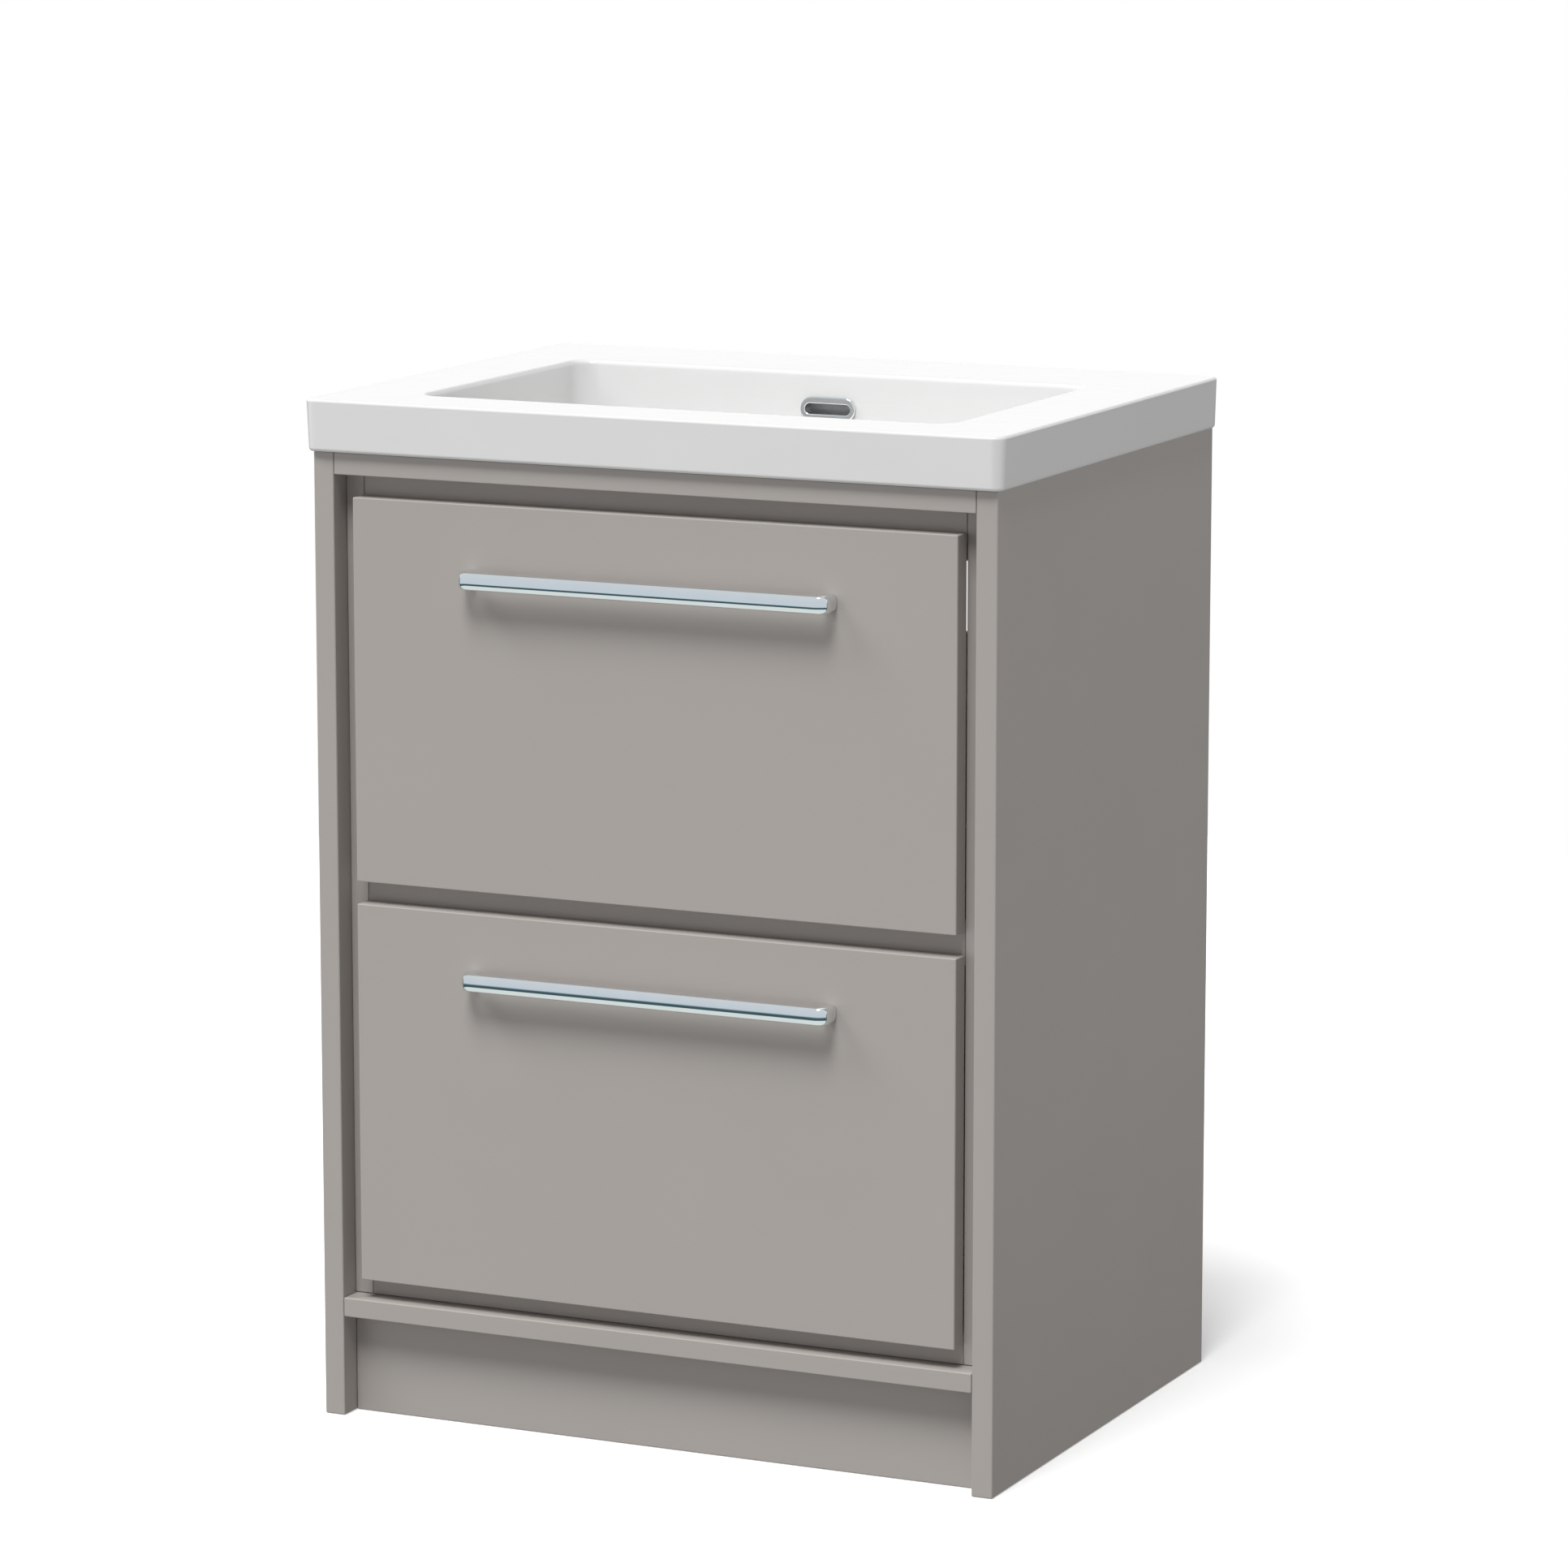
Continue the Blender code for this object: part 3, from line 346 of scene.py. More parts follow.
def painted_lacquer():
    """Satin taupe lacquer: hardly any mottling, a fine sprayed relief and a soft sheen."""
    colour = (0.442, 0.410, 0.385)
    material, tree, shader = start_material("painted_lacquer", colour, 0.42)
    mottle(tree, shader, object_noise(tree, 7.0, at=(-900, 300)), colour, 0.008)
    uneven_gloss(tree, shader, object_noise(tree, 23.0, at=(-900, 0)), 0.40, 0.45)
    relief(tree, shader, object_noise(tree, 650.0, at=(-900, -300)), 0.00002)
    return material


def glazed_ceramic():
    """White glazed ceramic: a clear gloss over a body that is never quite even."""
    colour = (0.82, 0.82, 0.815)
    material, tree, shader = start_material("glazed_ceramic", colour, 0.07)
    mottle(tree, shader, object_noise(tree, 9.0, at=(-900, 300)), colour, 0.006)
    uneven_gloss(tree, shader, object_noise(tree, 30.0, at=(-900, 0)), 0.05, 0.09)
    relief(tree, shader, object_noise(tree, 26.0, at=(-900, -300)), 0.00012)
    return material


def chrome_plate():
    """Polished chrome with a trace of polishing lines along its length."""
    colour = (0.86, 0.88, 0.89)
    material, tree, shader = start_material("chrome_plate", colour, 0.04, 1.0)
    mottle(tree, shader, object_noise(tree, 60.0, at=(-900, 300)), colour, 0.01)
    lines = object_noise(tree, 500.0, stretch=(0.03, 1.0, 1.0), at=(-900, 0))
    uneven_gloss(tree, shader, lines, 0.03, 0.06)
    return material


def drawer_laminate():
    """Pale grey melamine with a fine grain along the drawer."""
    colour = (0.60, 0.59, 0.57)
    material, tree, shader = start_material("drawer_laminate", colour, 0.5)
    grain = object_noise(tree, 260.0, 4.0, (1.0, 0.04, 1.0), (-900, 300))
    mottle(tree, shader, grain, colour, 0.05)
    uneven_gloss(tree, shader, object_noise(tree, 40.0, at=(-900, 0)), 0.45, 0.55)
    relief(tree, shader, grain, 0.00003)
    return material


def back_board():
    """Faced fibreboard, with short fibres that lie every way."""
    colour = (0.52, 0.50, 0.47)
    material, tree, shader = start_material("back_board", colour, 0.7)
    fibres = object_noise(tree, 420.0, 6.0, at=(-900, 300))
    mottle(tree, shader, fibres, colour, 0.06)
    uneven_gloss(tree, shader, object_noise(tree, 18.0, at=(-900, 0)), 0.62, 0.75)
    relief(tree, shader, fibres, 0.00005)
    return material


def zinc_steel():
    """Zinc-plated steel strip with rolling marks along the runner."""
    colour = (0.66, 0.67, 0.69)
    material, tree, shader = start_material("zinc_steel", colour, 0.32, 1.0)
    rolling = object_noise(tree, 900.0, 3.0, (1.0, 0.02, 1.0), (-900, 0))
    mottle(tree, shader, object_noise(tree, 45.0, at=(-900, 300)), colour, 0.08)
    uneven_gloss(tree, shader, rolling, 0.26, 0.40)
    relief(tree, shader, rolling, 0.00001)
    return material


def grey_plastic():
    """Moulded grey plastic with a fine sparked texture."""
    colour = (0.32, 0.32, 0.32)
    material, tree, shader = start_material("grey_plastic", colour, 0.55)
    spark = object_noise(tree, 1400.0, 3.0, at=(-900, 0))
    mottle(tree, shader, spark, colour, 0.06)
    uneven_gloss(tree, shader, spark, 0.48, 0.62)
    relief(tree, shader, spark, 0.00003)
    return material


# ---------------------------------------------------------------- pieces

def body_of(node_name):
    """The name of the body that a CAD node rides on."""
    bodies = frame["record"]["behaviour"]["bodies"]
    return next(body for body, members in bodies.items() if node_name in members)


def place(mesh, material, slot, *replaced, body=None):
    """Put a finished mesh in the scene as a piece that rides with the nodes it stands for."""
    mesh.materials.append(material)
    piece = bpy.data.objects.new(mesh.name, mesh)
    bpy.context.scene.collection.objects.link(piece)
    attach(piece, body or body_of(replaced[0]))
    if replaced:
        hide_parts(*replaced)
    return piece


def carve(mesh, *cuts, joined=()):
    """The mesh with the joined meshes added and then the cuts taken away, all closed, shaded smooth."""
    whole = bpy.data.objects.new("whole", mesh)
    helpers = [bpy.data.objects.new("helper", helper) for helper in (*joined, *cuts)]
    for item in (whole, *helpers):
        bpy.context.scene.collection.objects.link(item)
    for number, helper in enumerate(helpers):
        step = whole.modifiers.new("step", "BOOLEAN")
        step.object = helper
        step.operation = "UNION" if number < len(joined) else "DIFFERENCE"
        step.solver = "EXACT"
    done = bpy.data.meshes.new_from_object(whole.evaluated_get(bpy.context.evaluated_depsgraph_get()))
    for item in (whole, *helpers):
        bpy.data.objects.remove(item)
    name, mesh.name = mesh.name, "uncut"
    done.name = name
    smooth(done)
    return done


def make_boards(material):
    """Every painted board that is a plain rectangle, as an eased solid in its node's box."""
    plain = [
        "end_panel_left", "end_panel_right", "base_panel", "top_rail", "plinth_panel", "plinth_rear_rail",
        "frame_rail_top", "frame_rail_middle", "frame_rail_bottom",
        "upper_drawer_front", "lower_drawer_front",
    ]
    for name in plain:
        low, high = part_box(name)
        outline = rectangle(low.x, high.x, low.y, high.y)
        mesh = eased_bar(f"{name}_painted", outline, "Z", low.z, high.z, BOARD_CORNER, BOARD_EASE)
        place(mesh, material, "painted_taupe", name)


def make_carcass_sides(material):
    """The two carcass sides, each with a notch in its rear top corner that the fixing rail passes through."""
    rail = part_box("wall_fixing_rail")[0]
    notch_y, notch_z = rail.y - FIT_GAP, rail.z - FIT_GAP
    for name in ("carcass_side_left", "carcass_side_right"):
        low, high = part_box(name)
        outline = [
            (low.y, low.z), (high.y, low.z), (high.y, notch_z),
            (notch_y, notch_z), (notch_y, high.z), (low.y, high.z),
        ]
        mesh = eased_bar(f"{name}_painted", outline, "X", low.x, high.x, BOARD_CORNER, BOARD_EASE)
        place(mesh, material, "painted_taupe", name)


def make_fixing_rail(material):
    """The painted rail at the wall, with its two screw holes."""
    low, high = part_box("wall_fixing_rail")
    outline = rectangle(low.x, high.x, low.z, high.z)
    rail = eased_bar("wall_fixing_rail_painted", outline, "Y", low.y, high.y, BOARD_CORNER, BOARD_EASE)
    turn = np.linspace(0, 2 * math.pi, 48, endpoint=False)
    holes = []
    for x in (low.x + WALL_HOLE_INSET, high.x - WALL_HOLE_INSET):
        grid = np.empty((2, len(turn), 3))
        grid[..., 0] = x + WALL_HOLE_RADIUS * np.cos(turn)
        grid[..., 1] = np.array([[low.y - WALL_HOLE_RADIUS], [high.y + WALL_HOLE_RADIUS]])
        grid[..., 2] = (low.z + high.z) / 2 + WALL_HOLE_RADIUS * np.sin(turn)
        holes.append(rings("screw_hole", grid))
    place(carve(rail, *holes), material, "painted_taupe", "wall_fixing_rail")


def make_back_panel(material):
    """The thin back, with a notch in its top edge for the pipes."""
    low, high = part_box("back_panel")
    notch = high.z - PIPE_NOTCH_HEIGHT
    outline = [
        (low.x, low.z), (high.x, low.z), (high.x, high.z), (PIPE_NOTCH_HALF, high.z),
        (PIPE_NOTCH_HALF, notch), (-PIPE_NOTCH_HALF, notch), (-PIPE_NOTCH_HALF, high.z), (low.x, high.z),
    ]
    mesh = eased_bar("back_panel_faced", outline, "Y", low.y, high.y, BOX_CORNER, BOX_EASE)
    place(mesh, material, "back_board", "back_panel")


def grooved(low, high, bottom, top, groove, groove_on_high):
    """A box wall's cross-section: a rectangle with the groove for the bottom, on one of its two faces."""
    face, floor, far = high, high - BOX_GROOVE_DEPTH, low
    if not groove_on_high:
        face, floor, far = low, low + BOX_GROOVE_DEPTH, high
    outline = [
        (far, bottom), (face, bottom), (face, groove[0]), (floor, groove[0]),
        (floor, groove[1]), (face, groove[1]), (face, top), (far, top),
    ]
    return outline if groove_on_high else outline[::-1]


def make_drawer_boxes(material):
    """The walls of both drawer boxes, with eased edges and the groove that each holds the bottom with."""
    along_y = [
        ("lower_box_side_left", True), ("lower_box_side_right", False),
        ("upper_box_side_left", True), ("upper_box_side_right", False),
        ("upper_box_bay_side_left", False), ("upper_box_bay_side_right", True),
    ]
    along_x = [
        ("lower_box_subfront", True), ("upper_box_subfront", True), ("lower_box_back", False),
        ("upper_box_back_left", False), ("upper_box_back_right", False),
    ]
    for axis, walls in (("Y", along_y), ("X", along_x)):
        for name, groove_on_high in walls:
            low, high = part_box(name)
            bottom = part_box(name.split("_")[0] + "_box_bottom")
            groove = (bottom[0].z - FIT_GAP, bottom[1].z + FIT_GAP)
            across, along = (low.x, high.x), (low.y, high.y)
            if axis == "X":
                across, along = along, across
            outline = grooved(*across, low.z, high.z, groove, groove_on_high)
            mesh = eased_bar(f"{name}_laminated", outline, axis, *along, BOX_CORNER, BOX_EASE)
            place(mesh, material, "drawer_laminate", name)
    low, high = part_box("upper_box_bay_front")
    outline = rectangle(low.x, high.x, low.y, high.y)
    mesh = eased_bar("upper_box_bay_front_laminated", outline, "Z", low.z, high.z, BOX_CORNER, BOX_EASE)
    place(mesh, material, "drawer_laminate", "upper_box_bay_front")


def make_runners(material):
    """Each runner member as a folded channel along the drawer: a web, two round folds and two lips."""
    radii = [RUNNER_FOLD, RUNNER_LIP_EASE, RUNNER_LIP_EASE, RUNNER_FOLD - RUNNER_SHEET] * 2
    radii = [radii[i] for i in (0, 1, 2, 3, 3, 2, 1, 0)]
    for drawer in ("upper", "lower"):
        for member in ("cabinet", "middle", "drawer"):
            for side in ("left", "right"):
                name = f"{drawer}_runner_{member}_{side}"
                low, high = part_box(name)
                web, lip = (low.x, high.x) if (member == "drawer") == (side == "right") else (high.x, low.x)
                inside = web + math.copysign(RUNNER_SHEET, lip - web)
                outline = [
                    (web, low.z), (lip, low.z), (lip, low.z + RUNNER_SHEET), (inside, low.z + RUNNER_SHEET),
                    (inside, high.z - RUNNER_SHEET), (lip, high.z - RUNNER_SHEET),
                    (lip, high.z), (web, high.z),
                ]
                if lip < web:
                    outline = outline[::-1]
                mesh = eased_bar(
                    f"{name}_folded", outline, "Y", low.y, high.y, np.array(radii), RUNNER_LIP_EASE
                )
                place(mesh, material, "zinc_plated_steel", name)


def make_screw(name, material):
    """A pan-head screw: circles carried along its axis, which turn into a four-armed recess in the head.

    The radius in the recess is a circle's times one plus a share of the cosine of four times the angle.
    """
    low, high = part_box(name)
    turn = np.linspace(0, 2 * math.pi, 64, endpoint=False)
    dome = quarter(0, 90, 6)
    under_head = high.y - SCREW_HEAD_HEIGHT
    shoulder = SCREW_HEAD_HEIGHT * 0.4
    profile = [
        (SCREW_RADIUS * 0.6, low.y, 0), (SCREW_RADIUS, low.y + SCREW_TIP, 0), (SCREW_RADIUS, under_head, 0),
        (SCREW_HEAD_RADIUS - FIT_GAP, under_head, 0), (SCREW_HEAD_RADIUS, under_head + FIT_GAP, 0),
    ]
    profile += [
        (SCREW_HEAD_FACE + (SCREW_HEAD_RADIUS - SCREW_HEAD_FACE) * math.cos(a),
         under_head + shoulder + (SCREW_HEAD_HEIGHT - shoulder) * math.sin(a), 0) for a in dome
    ]
    profile += [
        (SCREW_RECESS * 1.15, high.y, 0.42), (SCREW_RECESS, high.y - FIT_GAP, 0.45),
        (SCREW_RECESS * 0.45, high.y - SCREW_RECESS_DEPTH, 0.40),
    ]
    radius, along, arms = (column[:, None] for column in np.array(profile).T)
    reach = radius * (1 + arms * np.cos(4 * turn))
    grid = np.empty((len(profile), len(turn), 3))
    grid[..., 0] = (low.x + high.x) / 2 + reach * np.cos(turn)
    grid[..., 1] = along
    grid[..., 2] = (low.z + high.z) / 2 + reach * np.sin(turn)
    place(rings(f"{name}_turned", grid), material, "zinc_plated_steel", name)


def handle_path(foot_y, front_y, half_length):
    """Centres and outward directions along the handle: leg, quarter bend, bar, quarter bend and leg."""
    leg_x = half_length - HANDLE_DEPTH / 2
    bar_y = front_y + HANDLE_DEPTH / 2
    angle = np.linspace(0, math.pi / 2, 19)
    outward = np.stack([-np.cos(angle), -np.sin(angle), 0 * angle], axis=1)
    bend = np.array([-leg_x + HANDLE_BEND, bar_y + HANDLE_BEND, 0]) + outward * HANDLE_BEND
    foot = np.array([[-leg_x, foot_y, 0]])
    centres = np.concatenate([foot, foot - [0, HANDLE_FOOT_EASE, 0], bend])
    outwards = np.concatenate([[[-1, 0, 0]], [[-1, 0, 0]], outward])
    mirror = np.array([-1, 1, 1])
    return tuple(np.concatenate([half, half[::-1] * mirror]) for half in (centres, outwards))


def make_handle(name, material):
    """A superellipse, cos and sin of an angle to the power 2 over squareness, along the handle's path."""
    low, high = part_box(name)
    centres, outwards = handle_path(high.y, low.y, (high.x - low.x) / 2)
    angle = np.linspace(0, 2 * math.pi, 96, endpoint=False)
    power = 2 / HANDLE_SQUARENESS
    out = np.sign(np.cos(angle)) * np.abs(np.cos(angle)) ** power * HANDLE_DEPTH / 2
    up = np.sign(np.sin(angle)) * np.abs(np.sin(angle)) ** power * (high.z - low.z) / 2
    shrink = np.ones(len(centres))
    shrink[[0, -1]] = 1 - 2 * HANDLE_FOOT_EASE / HANDLE_DEPTH
    grid = centres[:, None] + outwards[:, None] * (out * shrink[:, None])[..., None]
    grid[..., 2] += (low.z + high.z) / 2 + up * shrink[:, None]
    grid[..., 0] += (low.x + high.x) / 2
    place(rings(f"{name}_polished", grid), material, "chrome_plate", name)


def quarter(low, high, steps=10):
    """Angles from low to high degrees, in radians."""
    return np.radians(np.linspace(low, high, steps + 1))


class BasinFrame:
    """The basin's levels and plan, from the CAD basin's box and the cabinet's top."""

    def __init__(self):
        low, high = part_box("basin")
        contact_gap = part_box("base_panel")[0].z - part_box("plinth_panel")[1].z
        self.top = high.z
        self.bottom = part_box("end_panel_left")[1].z + contact_gap
        self.boss_bottom = low.z
        self.half = high.x
        self.front = low.y
        self.back = high.y
        self.bowl_half = self.half - SIDE_DECK
        self.bowl_front = self.front + FRONT_DECK
        self.bowl_back = self.back - REAR_DECK
        self.waste_y = (self.bowl_front + self.bowl_back) / 2
        self.floor_depth = BOWL_WALL_DEPTH + BOWL_FLOOR_BEND
        self.wall_foot = (BOWL_WALL_DEPTH - BOWL_RIM_EDGE) * BOWL_WALL_SLOPE

    def bowl(self, outset, depth):
        """Rows of the bowl moved out by outset, at a depth under the top. Corners grow rounder both ways."""
        outset, depth = np.broadcast_arrays(np.atleast_1d(outset), np.atleast_1d(depth))
        inward = BOWL_CORNER + BOWL_CORNER_GROWTH * np.minimum(-outset, BOWL_FLOOR_BEND)
        radius = np.where(outset > 0, BOWL_CORNER + outset, inward)
        low_y, high_y = self.bowl_front - outset, self.bowl_back + outset
        return np.stack([self.bowl_half + outset, low_y, high_y, radius, self.top - depth], axis=1)

    def outside(self, inset, height, back_inset=None):
        """Rows of the basin's outside moved in by inset, at a height above its bottom edge."""
        back_inset = inset if back_inset is None else back_inset
        inset, height, back_inset = np.broadcast_arrays(*map(np.atleast_1d, (inset, height, back_inset)))
        radius = np.maximum(BASIN_CORNER - inset, SKIRT_INNER_CORNER)
        low_y, high_y = self.front + inset, self.back - back_inset
        return np.stack([self.half - inset, low_y, high_y, radius, self.bottom + height], axis=1)

    def round_hole(self, radius, depth):
        """Rows of a circle round the waste."""
        radius, depth = np.broadcast_arrays(np.atleast_1d(radius), np.atleast_1d(depth))
        low_y, high_y = self.waste_y - radius, self.waste_y + radius
        return np.stack([radius, low_y, high_y, radius, self.top - depth], axis=1)


def basin_rows(b):
    """Every ring of the basin's skin in order: bore, floor, bend, wall, rim, outside, underside and boss."""
    foot = b.wall_foot
    floor_low = b.floor_depth + BOWL_FALL
    under_floor = floor_low + BOWL_WALL
    boss_depth = b.top - b.boss_bottom

    angle = quarter(0, 90)
    bore = b.round_hole([WASTE_RADIUS], [boss_depth])
    widening, drop = WASTE_EDGE * (1 - np.cos(angle)), WASTE_EDGE * (1 - np.sin(angle))
    lip = b.round_hole(WASTE_RADIUS + widening, floor_low + drop)
    edge_of_floor = b.bowl(-foot - BOWL_FLOOR_BEND, b.floor_depth)
    share = np.linspace(0, 1, 16)[1:, None]
    floor = lip[-1] * (1 - share) + edge_of_floor * share
    floor[:, 4] = b.top - b.floor_depth - BOWL_FALL * (1 - share[:, 0]) ** 2
    turn = quarter(90, 0, 14)[1:]
    bend_inset, bend_drop = BOWL_FLOOR_BEND * (1 - np.cos(turn)), BOWL_FLOOR_BEND * np.sin(turn)
    bend = b.bowl(-foot - bend_inset, BOWL_WALL_DEPTH + bend_drop)
    depth = np.linspace(BOWL_WALL_DEPTH, BOWL_RIM_EDGE, 9)[1:]
    wall = b.bowl(-(depth - BOWL_RIM_EDGE) * BOWL_WALL_SLOPE, depth)
    rim = b.bowl(BOWL_RIM_EDGE * (1 - np.cos(angle[1:])), BOWL_RIM_EDGE * (1 - np.sin(angle[1:])))

    height = b.top - b.bottom
    top_edge = b.outside(BASIN_TOP_EDGE * (1 - np.sin(angle)), height - BASIN_TOP_EDGE * (1 - np.cos(angle)))
    inset = BASIN_BOTTOM_EDGE * (1 - np.cos(angle))
    low_edge = b.outside(BASIN_DRAFT + inset, BASIN_BOTTOM_EDGE * (1 - np.sin(angle)), inset)
    underside = height - DECK_THICKNESS
    skirt = b.outside(SKIRT_THICKNESS, [0, underside])
    outer_depth = np.linspace(DECK_THICKNESS, BOWL_WALL_DEPTH, 7)
    outer_wall = b.bowl(BOWL_WALL - np.maximum(outer_depth - BOWL_RIM_EDGE, 0) * BOWL_WALL_SLOPE, outer_depth)
    radius = BOWL_FLOOR_BEND + BOWL_WALL
    back_turn = quarter(0, 90, 12)[1:]
    outer_bend = b.bowl(
        BOWL_WALL - foot - radius * (1 - np.cos(back_turn)), BOWL_WALL_DEPTH + radius * np.sin(back_turn)
    )
    boss = b.round_hole([BOSS_RADIUS, BOSS_RADIUS, WASTE_RADIUS], [under_floor, boss_depth, boss_depth])
    return np.concatenate([
        bore, lip, floor, bend, wall, rim, top_edge, low_edge, skirt, outer_wall, outer_bend, boss
    ])


def stadium(width, height, steps=12):
    """A slot's outline: two half circles joined by straight sides.

    Each half circle is two quarters, a hair smaller than they could be, so that no two points meet.
    """
    radius = height / 2
    return rounded(rectangle(-width / 2, width / 2, -radius, radius), radius * HALF_CIRCLE_SHARE, steps)[0]


def on_wall(flat, depth, seat):
    """Points given across, up and into the wall, set on the bowl's sloping back wall."""
    tilt = math.atan(BOWL_WALL_SLOPE)
    up, into = flat[..., 1], depth
    y = seat[1] + into * math.cos(tilt) + up * math.sin(tilt)
    z = seat[2] - into * math.sin(tilt) + up * math.cos(tilt)
    return np.stack([seat[0] + flat[..., 0], y, z], axis=-1)


def overflow_seat(b):
    y = b.bowl_back - (OVERFLOW_DROP - BOWL_RIM_EDGE) * BOWL_WALL_SLOPE
    return (0.0, y, b.top - OVERFLOW_DROP)


def slot_rings(sizes, depths, seat):
    """Rings round the overflow: slots, each of its own width and height, at a depth into the wall."""
    flat = np.stack([stadium(width, height) for width, height in sizes])
    return on_wall(flat, np.broadcast_to(np.asarray(depths)[:, None], flat.shape[:2]), seat)


def bowl_band(name, b, near, far, head, end_y, half_width):
    """A band between two distances outside the bowl, from a depth on its back wall to under its floor.

    Seen from the side each of its two lines is the straight wall, then a quarter of a circle about the floor
    bend's centre, then a straight end that falls as the floor does.
    """
    centre_y, centre_z = b.bowl_back - b.wall_foot - BOWL_FLOOR_BEND, b.top - BOWL_WALL_DEPTH
    turn = quarter(0, 90, 14)
    lines = []
    for distance in (near, far):
        radius = BOWL_FLOOR_BEND + distance
        bend = np.stack([centre_y + radius * np.cos(turn), centre_z - radius * np.sin(turn)], axis=1)
        start = [bend[0, 0] + (BOWL_WALL_DEPTH - head) * BOWL_WALL_SLOPE, b.top - head]
        lines.append(np.concatenate([[start], bend, [[end_y, bend[-1, 1] - BOWL_FALL]]]))
    outline = np.concatenate([lines[0], lines[1][::-1]])
    grid = np.empty((2, len(outline), 3))
    grid[..., 0], grid[..., 1:] = np.array([[-half_width], [half_width]]), outline
    return rings(name, grid)


def make_basin(b, material):
    """The basin's skin as closed rings, joined by the overflow's duct, then the passage and hole cut."""
    skin = rings("basin_glazed", ring_outlines(*basin_rows(b).T), close_rows=True)
    far, half = DUCT_SKIN + DUCT_DEPTH, DUCT_WIDTH / 2
    boss_side = b.waste_y + BOSS_RADIUS - DUCT_SKIN
    duct = bowl_band(
        "duct", b, DUCT_SKIN / 2, far + DUCT_SKIN, DECK_THICKNESS / 2, boss_side, half + DUCT_SKIN
    )
    passage = bowl_band("passage", b, DUCT_SKIN, far, OVERFLOW_DROP - DUCT_HEAD, b.waste_y, half)
    hole_size = OVERFLOW_SLOT + 2 * (OVERFLOW_SLEEVE_WALL + OVERFLOW_HOLE_GROWTH)
    hole = slot_rings([hole_size, hole_size], [-BOWL_WALL, DUCT_SKIN + DUCT_DEPTH / 2], overflow_seat(b))
    mesh = carve(skin, passage, rings("overflow_hole", hole), joined=[duct])
    place(mesh, material, "white_ceramic", "basin")


def make_overflow_trim(b, material):
    """The chrome ring in the overflow: a sleeve, a rounded inner lip, a flat face and a rounded rim."""
    face, bevel = -OVERFLOW_PROUD, OVERFLOW_PROUD / 3
    angle = quarter(0, 90, 6)
    by_cosine, by_sine = bevel * (1 - np.cos(angle)), bevel * (1 - np.sin(angle))
    sleeve = OVERFLOW_SLOT + 2 * OVERFLOW_SLEEVE_WALL
    sizes = np.concatenate([
        [OVERFLOW_SLOT], OVERFLOW_SLOT + 2 * by_cosine[:, None], OVERFLOW_RING - 2 * by_sine[:, None],
        [OVERFLOW_RING, sleeve, sleeve],
    ])
    end = OVERFLOW_SLEEVE_LENGTH
    depths = np.concatenate([[end], face + by_sine, face + by_cosine, [-FIT_GAP, -FIT_GAP, end]])
    grid = slot_rings(sizes, depths, overflow_seat(b))
    place(rings("overflow_ring", grid, close_rows=True), material, "chrome_plate", "overflow_trim")


def finish_cad_nodes(materials):
    """Give every CAD node that stays the procedural material of its slot."""
    slots = {part["node"]: part["material_slot"] for part in frame["record"]["subparts"]}
    for name, item in frame["nodes"].items():
        item.data.materials.clear()
        item.data.materials.append(materials[slots[name]])


# ---------------------------------------------------------------- stage

def make_floor():
    """A plain pale round floor. The dome's lower half stands for the light that it sends up."""
    angle = np.linspace(0, 2 * math.pi, 96, endpoint=False)
    level = np.full(len(angle), -FLOOR_DROP)
    points = np.stack([FLOOR_RADIUS * np.cos(angle), FLOOR_RADIUS * np.sin(angle), level], axis=1)
    mesh = bpy.data.meshes.new("floor")
    mesh.from_pydata(points.tolist(), [], [list(range(len(points)))])
    material, _, shader = start_material("floor_white", (0.9, 0.9, 0.9), 0.9)
    shader.inputs["Specular IOR Level"].default_value = 0.0
    shader.inputs["Emission Color"].default_value = (1.0, 1.0, 1.0, 1.0)
    shader.inputs["Emission Strength"].default_value = FLOOR_GLOW
    mesh.materials.append(material)
    floor = bpy.data.objects.new("floor", mesh)
    bpy.context.scene.collection.objects.link(floor)
    floor.visible_glossy = floor.visible_diffuse = False


def height_ramp(tree, stops, at):
    """A colour by the height of a direction. Each stop is a pitch in degrees and a colour or a grey."""
    coordinates = node(tree, "ShaderNodeTexCoord", (at[0] - 600, at[1]))
    split = node(tree, "ShaderNodeSeparateXYZ", (at[0] - 400, at[1]))
    sine = node(tree, "ShaderNodeMapRange", (at[0] - 200, at[1]))
    sine.inputs["From Min"].default_value = -1.0
    ramp = node(tree, "ShaderNodeValToRGB", at)
    tree.links.new(coordinates.outputs["Generated"], split.inputs["Vector"])
    tree.links.new(split.outputs["Z"], sine.inputs["Value"])
    tree.links.new(sine.outputs["Result"], ramp.inputs["Fac"])
    elements = ramp.color_ramp.elements
    while len(elements) < len(stops):
        elements.new(0.5)
    for element, (pitch, colour) in zip(elements, stops):
        element.position = (math.sin(math.radians(pitch)) + 1) / 2
        element.color = (*np.broadcast_to(colour, 3), 1.0)
    return ramp.outputs["Color"]


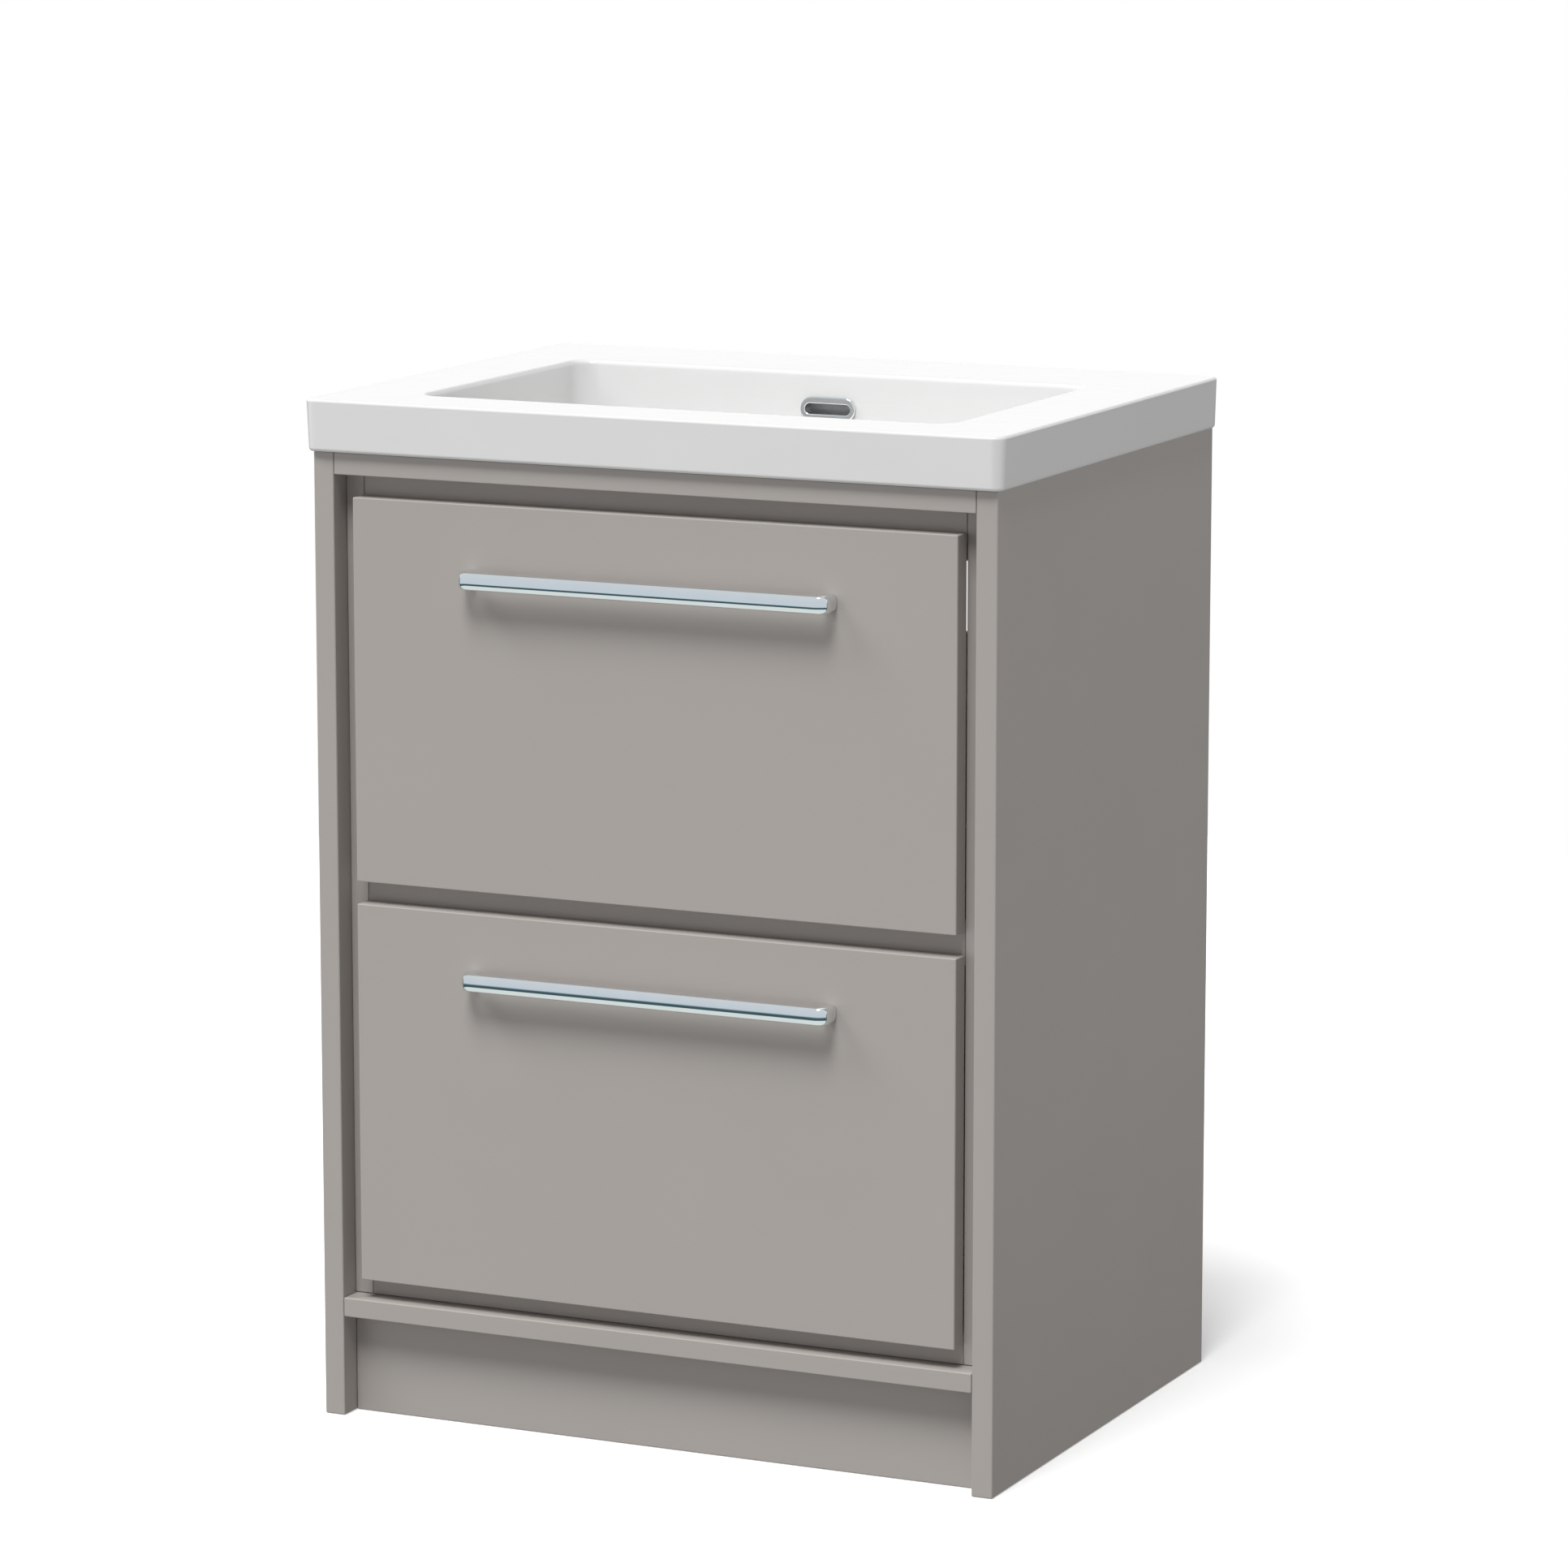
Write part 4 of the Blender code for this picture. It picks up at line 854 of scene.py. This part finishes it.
def world_light():
    """White behind the object, a plain pale dome for its matt surfaces, and two half rooms for its gloss.

    The half room in front has a dark band a little under the object's level. The one behind is light above
    and dark below.
    """
    world = bpy.data.worlds.new("studio")
    bpy.context.scene.world = world
    world.use_nodes = True
    tree = world.node_tree
    white = tree.nodes["Background"]
    white.inputs["Color"].default_value = (1.0, 1.0, 1.0, 1.0)
    domes = []
    for row, stops in enumerate((AMBIENT, ROOM_IN_FRONT, ROOM_BEHIND)):
        dome = node(tree, "ShaderNodeBackground", (-200, -300 * row - 200))
        tree.links.new(height_ramp(tree, stops, (-500, -300 * row - 200)), dome.inputs["Color"])
        domes.append(dome)
    plain, in_front, behind = domes
    coordinates = node(tree, "ShaderNodeTexCoord", (-800, 700))
    split = node(tree, "ShaderNodeSeparateXYZ", (-600, 700))
    side = node(tree, "ShaderNodeMath", (-400, 700), operation="GREATER_THAN")
    side.inputs[1].default_value = 0.0
    tree.links.new(coordinates.outputs["Generated"], split.inputs["Vector"])
    tree.links.new(split.outputs["Y"], side.inputs[0])
    ray = node(tree, "ShaderNodeLightPath", (-400, 400))
    mixes = [node(tree, "ShaderNodeMixShader", (200 * step, 0)) for step in range(3)]
    room, by_gloss, by_camera = mixes
    for mixed, factor, first, second in (
        (room, side.outputs[0], in_front, behind),
        (by_gloss, ray.outputs["Is Glossy Ray"], plain, room),
        (by_camera, ray.outputs["Is Camera Ray"], by_gloss, white),
    ):
        tree.links.new(factor, mixed.inputs[0])
        tree.links.new(first.outputs[0], mixed.inputs[1])
        tree.links.new(second.outputs[0], mixed.inputs[2])
    tree.links.new(by_camera.outputs[0], tree.nodes["World Output"].inputs["Surface"])


def make_lamp(name, azimuth, elevation, width, strength, in_gloss):
    """A far, wide soft light. Azimuth is from the front towards +X, and strength is the white it gives."""
    data = bpy.data.lights.new(name, "SUN")
    data.angle, data.energy = math.radians(width), math.pi * strength
    lamp = bpy.data.objects.new(name, data)
    bpy.context.scene.collection.objects.link(lamp)
    lamp.rotation_euler = (math.radians(90 - elevation), 0, math.radians(azimuth))
    lamp.visible_glossy = in_gloss


def make_camera():
    """The camera, at its place from the cabinet's front left foot."""
    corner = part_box("end_panel_left")[0]
    data = bpy.data.cameras.new("camera")
    data.lens, data.sensor_width = CAMERA_LENS, 36.0
    data.shift_x = CAMERA_SHIFT
    camera = bpy.data.objects.new("camera", data)
    bpy.context.scene.collection.objects.link(camera)
    camera.location = [a + b for a, b in zip(corner, CAMERA_FROM_FOOT)]
    camera.rotation_euler = (math.radians(90 - CAMERA_ELEVATION), 0, math.radians(CAMERA_AZIMUTH))
    bpy.context.scene.camera = camera


def main():
    materials = {
        "painted_taupe": painted_lacquer(), "white_ceramic": glazed_ceramic(), "chrome_plate": chrome_plate(),
        "drawer_laminate": drawer_laminate(), "back_board": back_board(), "zinc_plated_steel": zinc_steel(),
        "grey_plastic": grey_plastic(),
    }
    finish_cad_nodes(materials)
    make_boards(materials["painted_taupe"])
    make_carcass_sides(materials["painted_taupe"])
    make_fixing_rail(materials["painted_taupe"])
    make_back_panel(materials["back_board"])
    make_drawer_boxes(materials["drawer_laminate"])
    make_runners(materials["zinc_plated_steel"])
    basin = BasinFrame()
    make_basin(basin, materials["white_ceramic"])
    make_overflow_trim(basin, materials["chrome_plate"])
    for name in ("upper_handle", "lower_handle"):
        make_handle(name, materials["chrome_plate"])
        for side in ("left", "right"):
            make_screw(f"{name}_screw_{side}", materials["zinc_plated_steel"])
    make_floor()
    world_light()
    for name, settings in LAMPS.items():
        make_lamp(name, *settings)
    make_camera()
    bpy.context.scene.view_settings.view_transform = "Standard"


main()
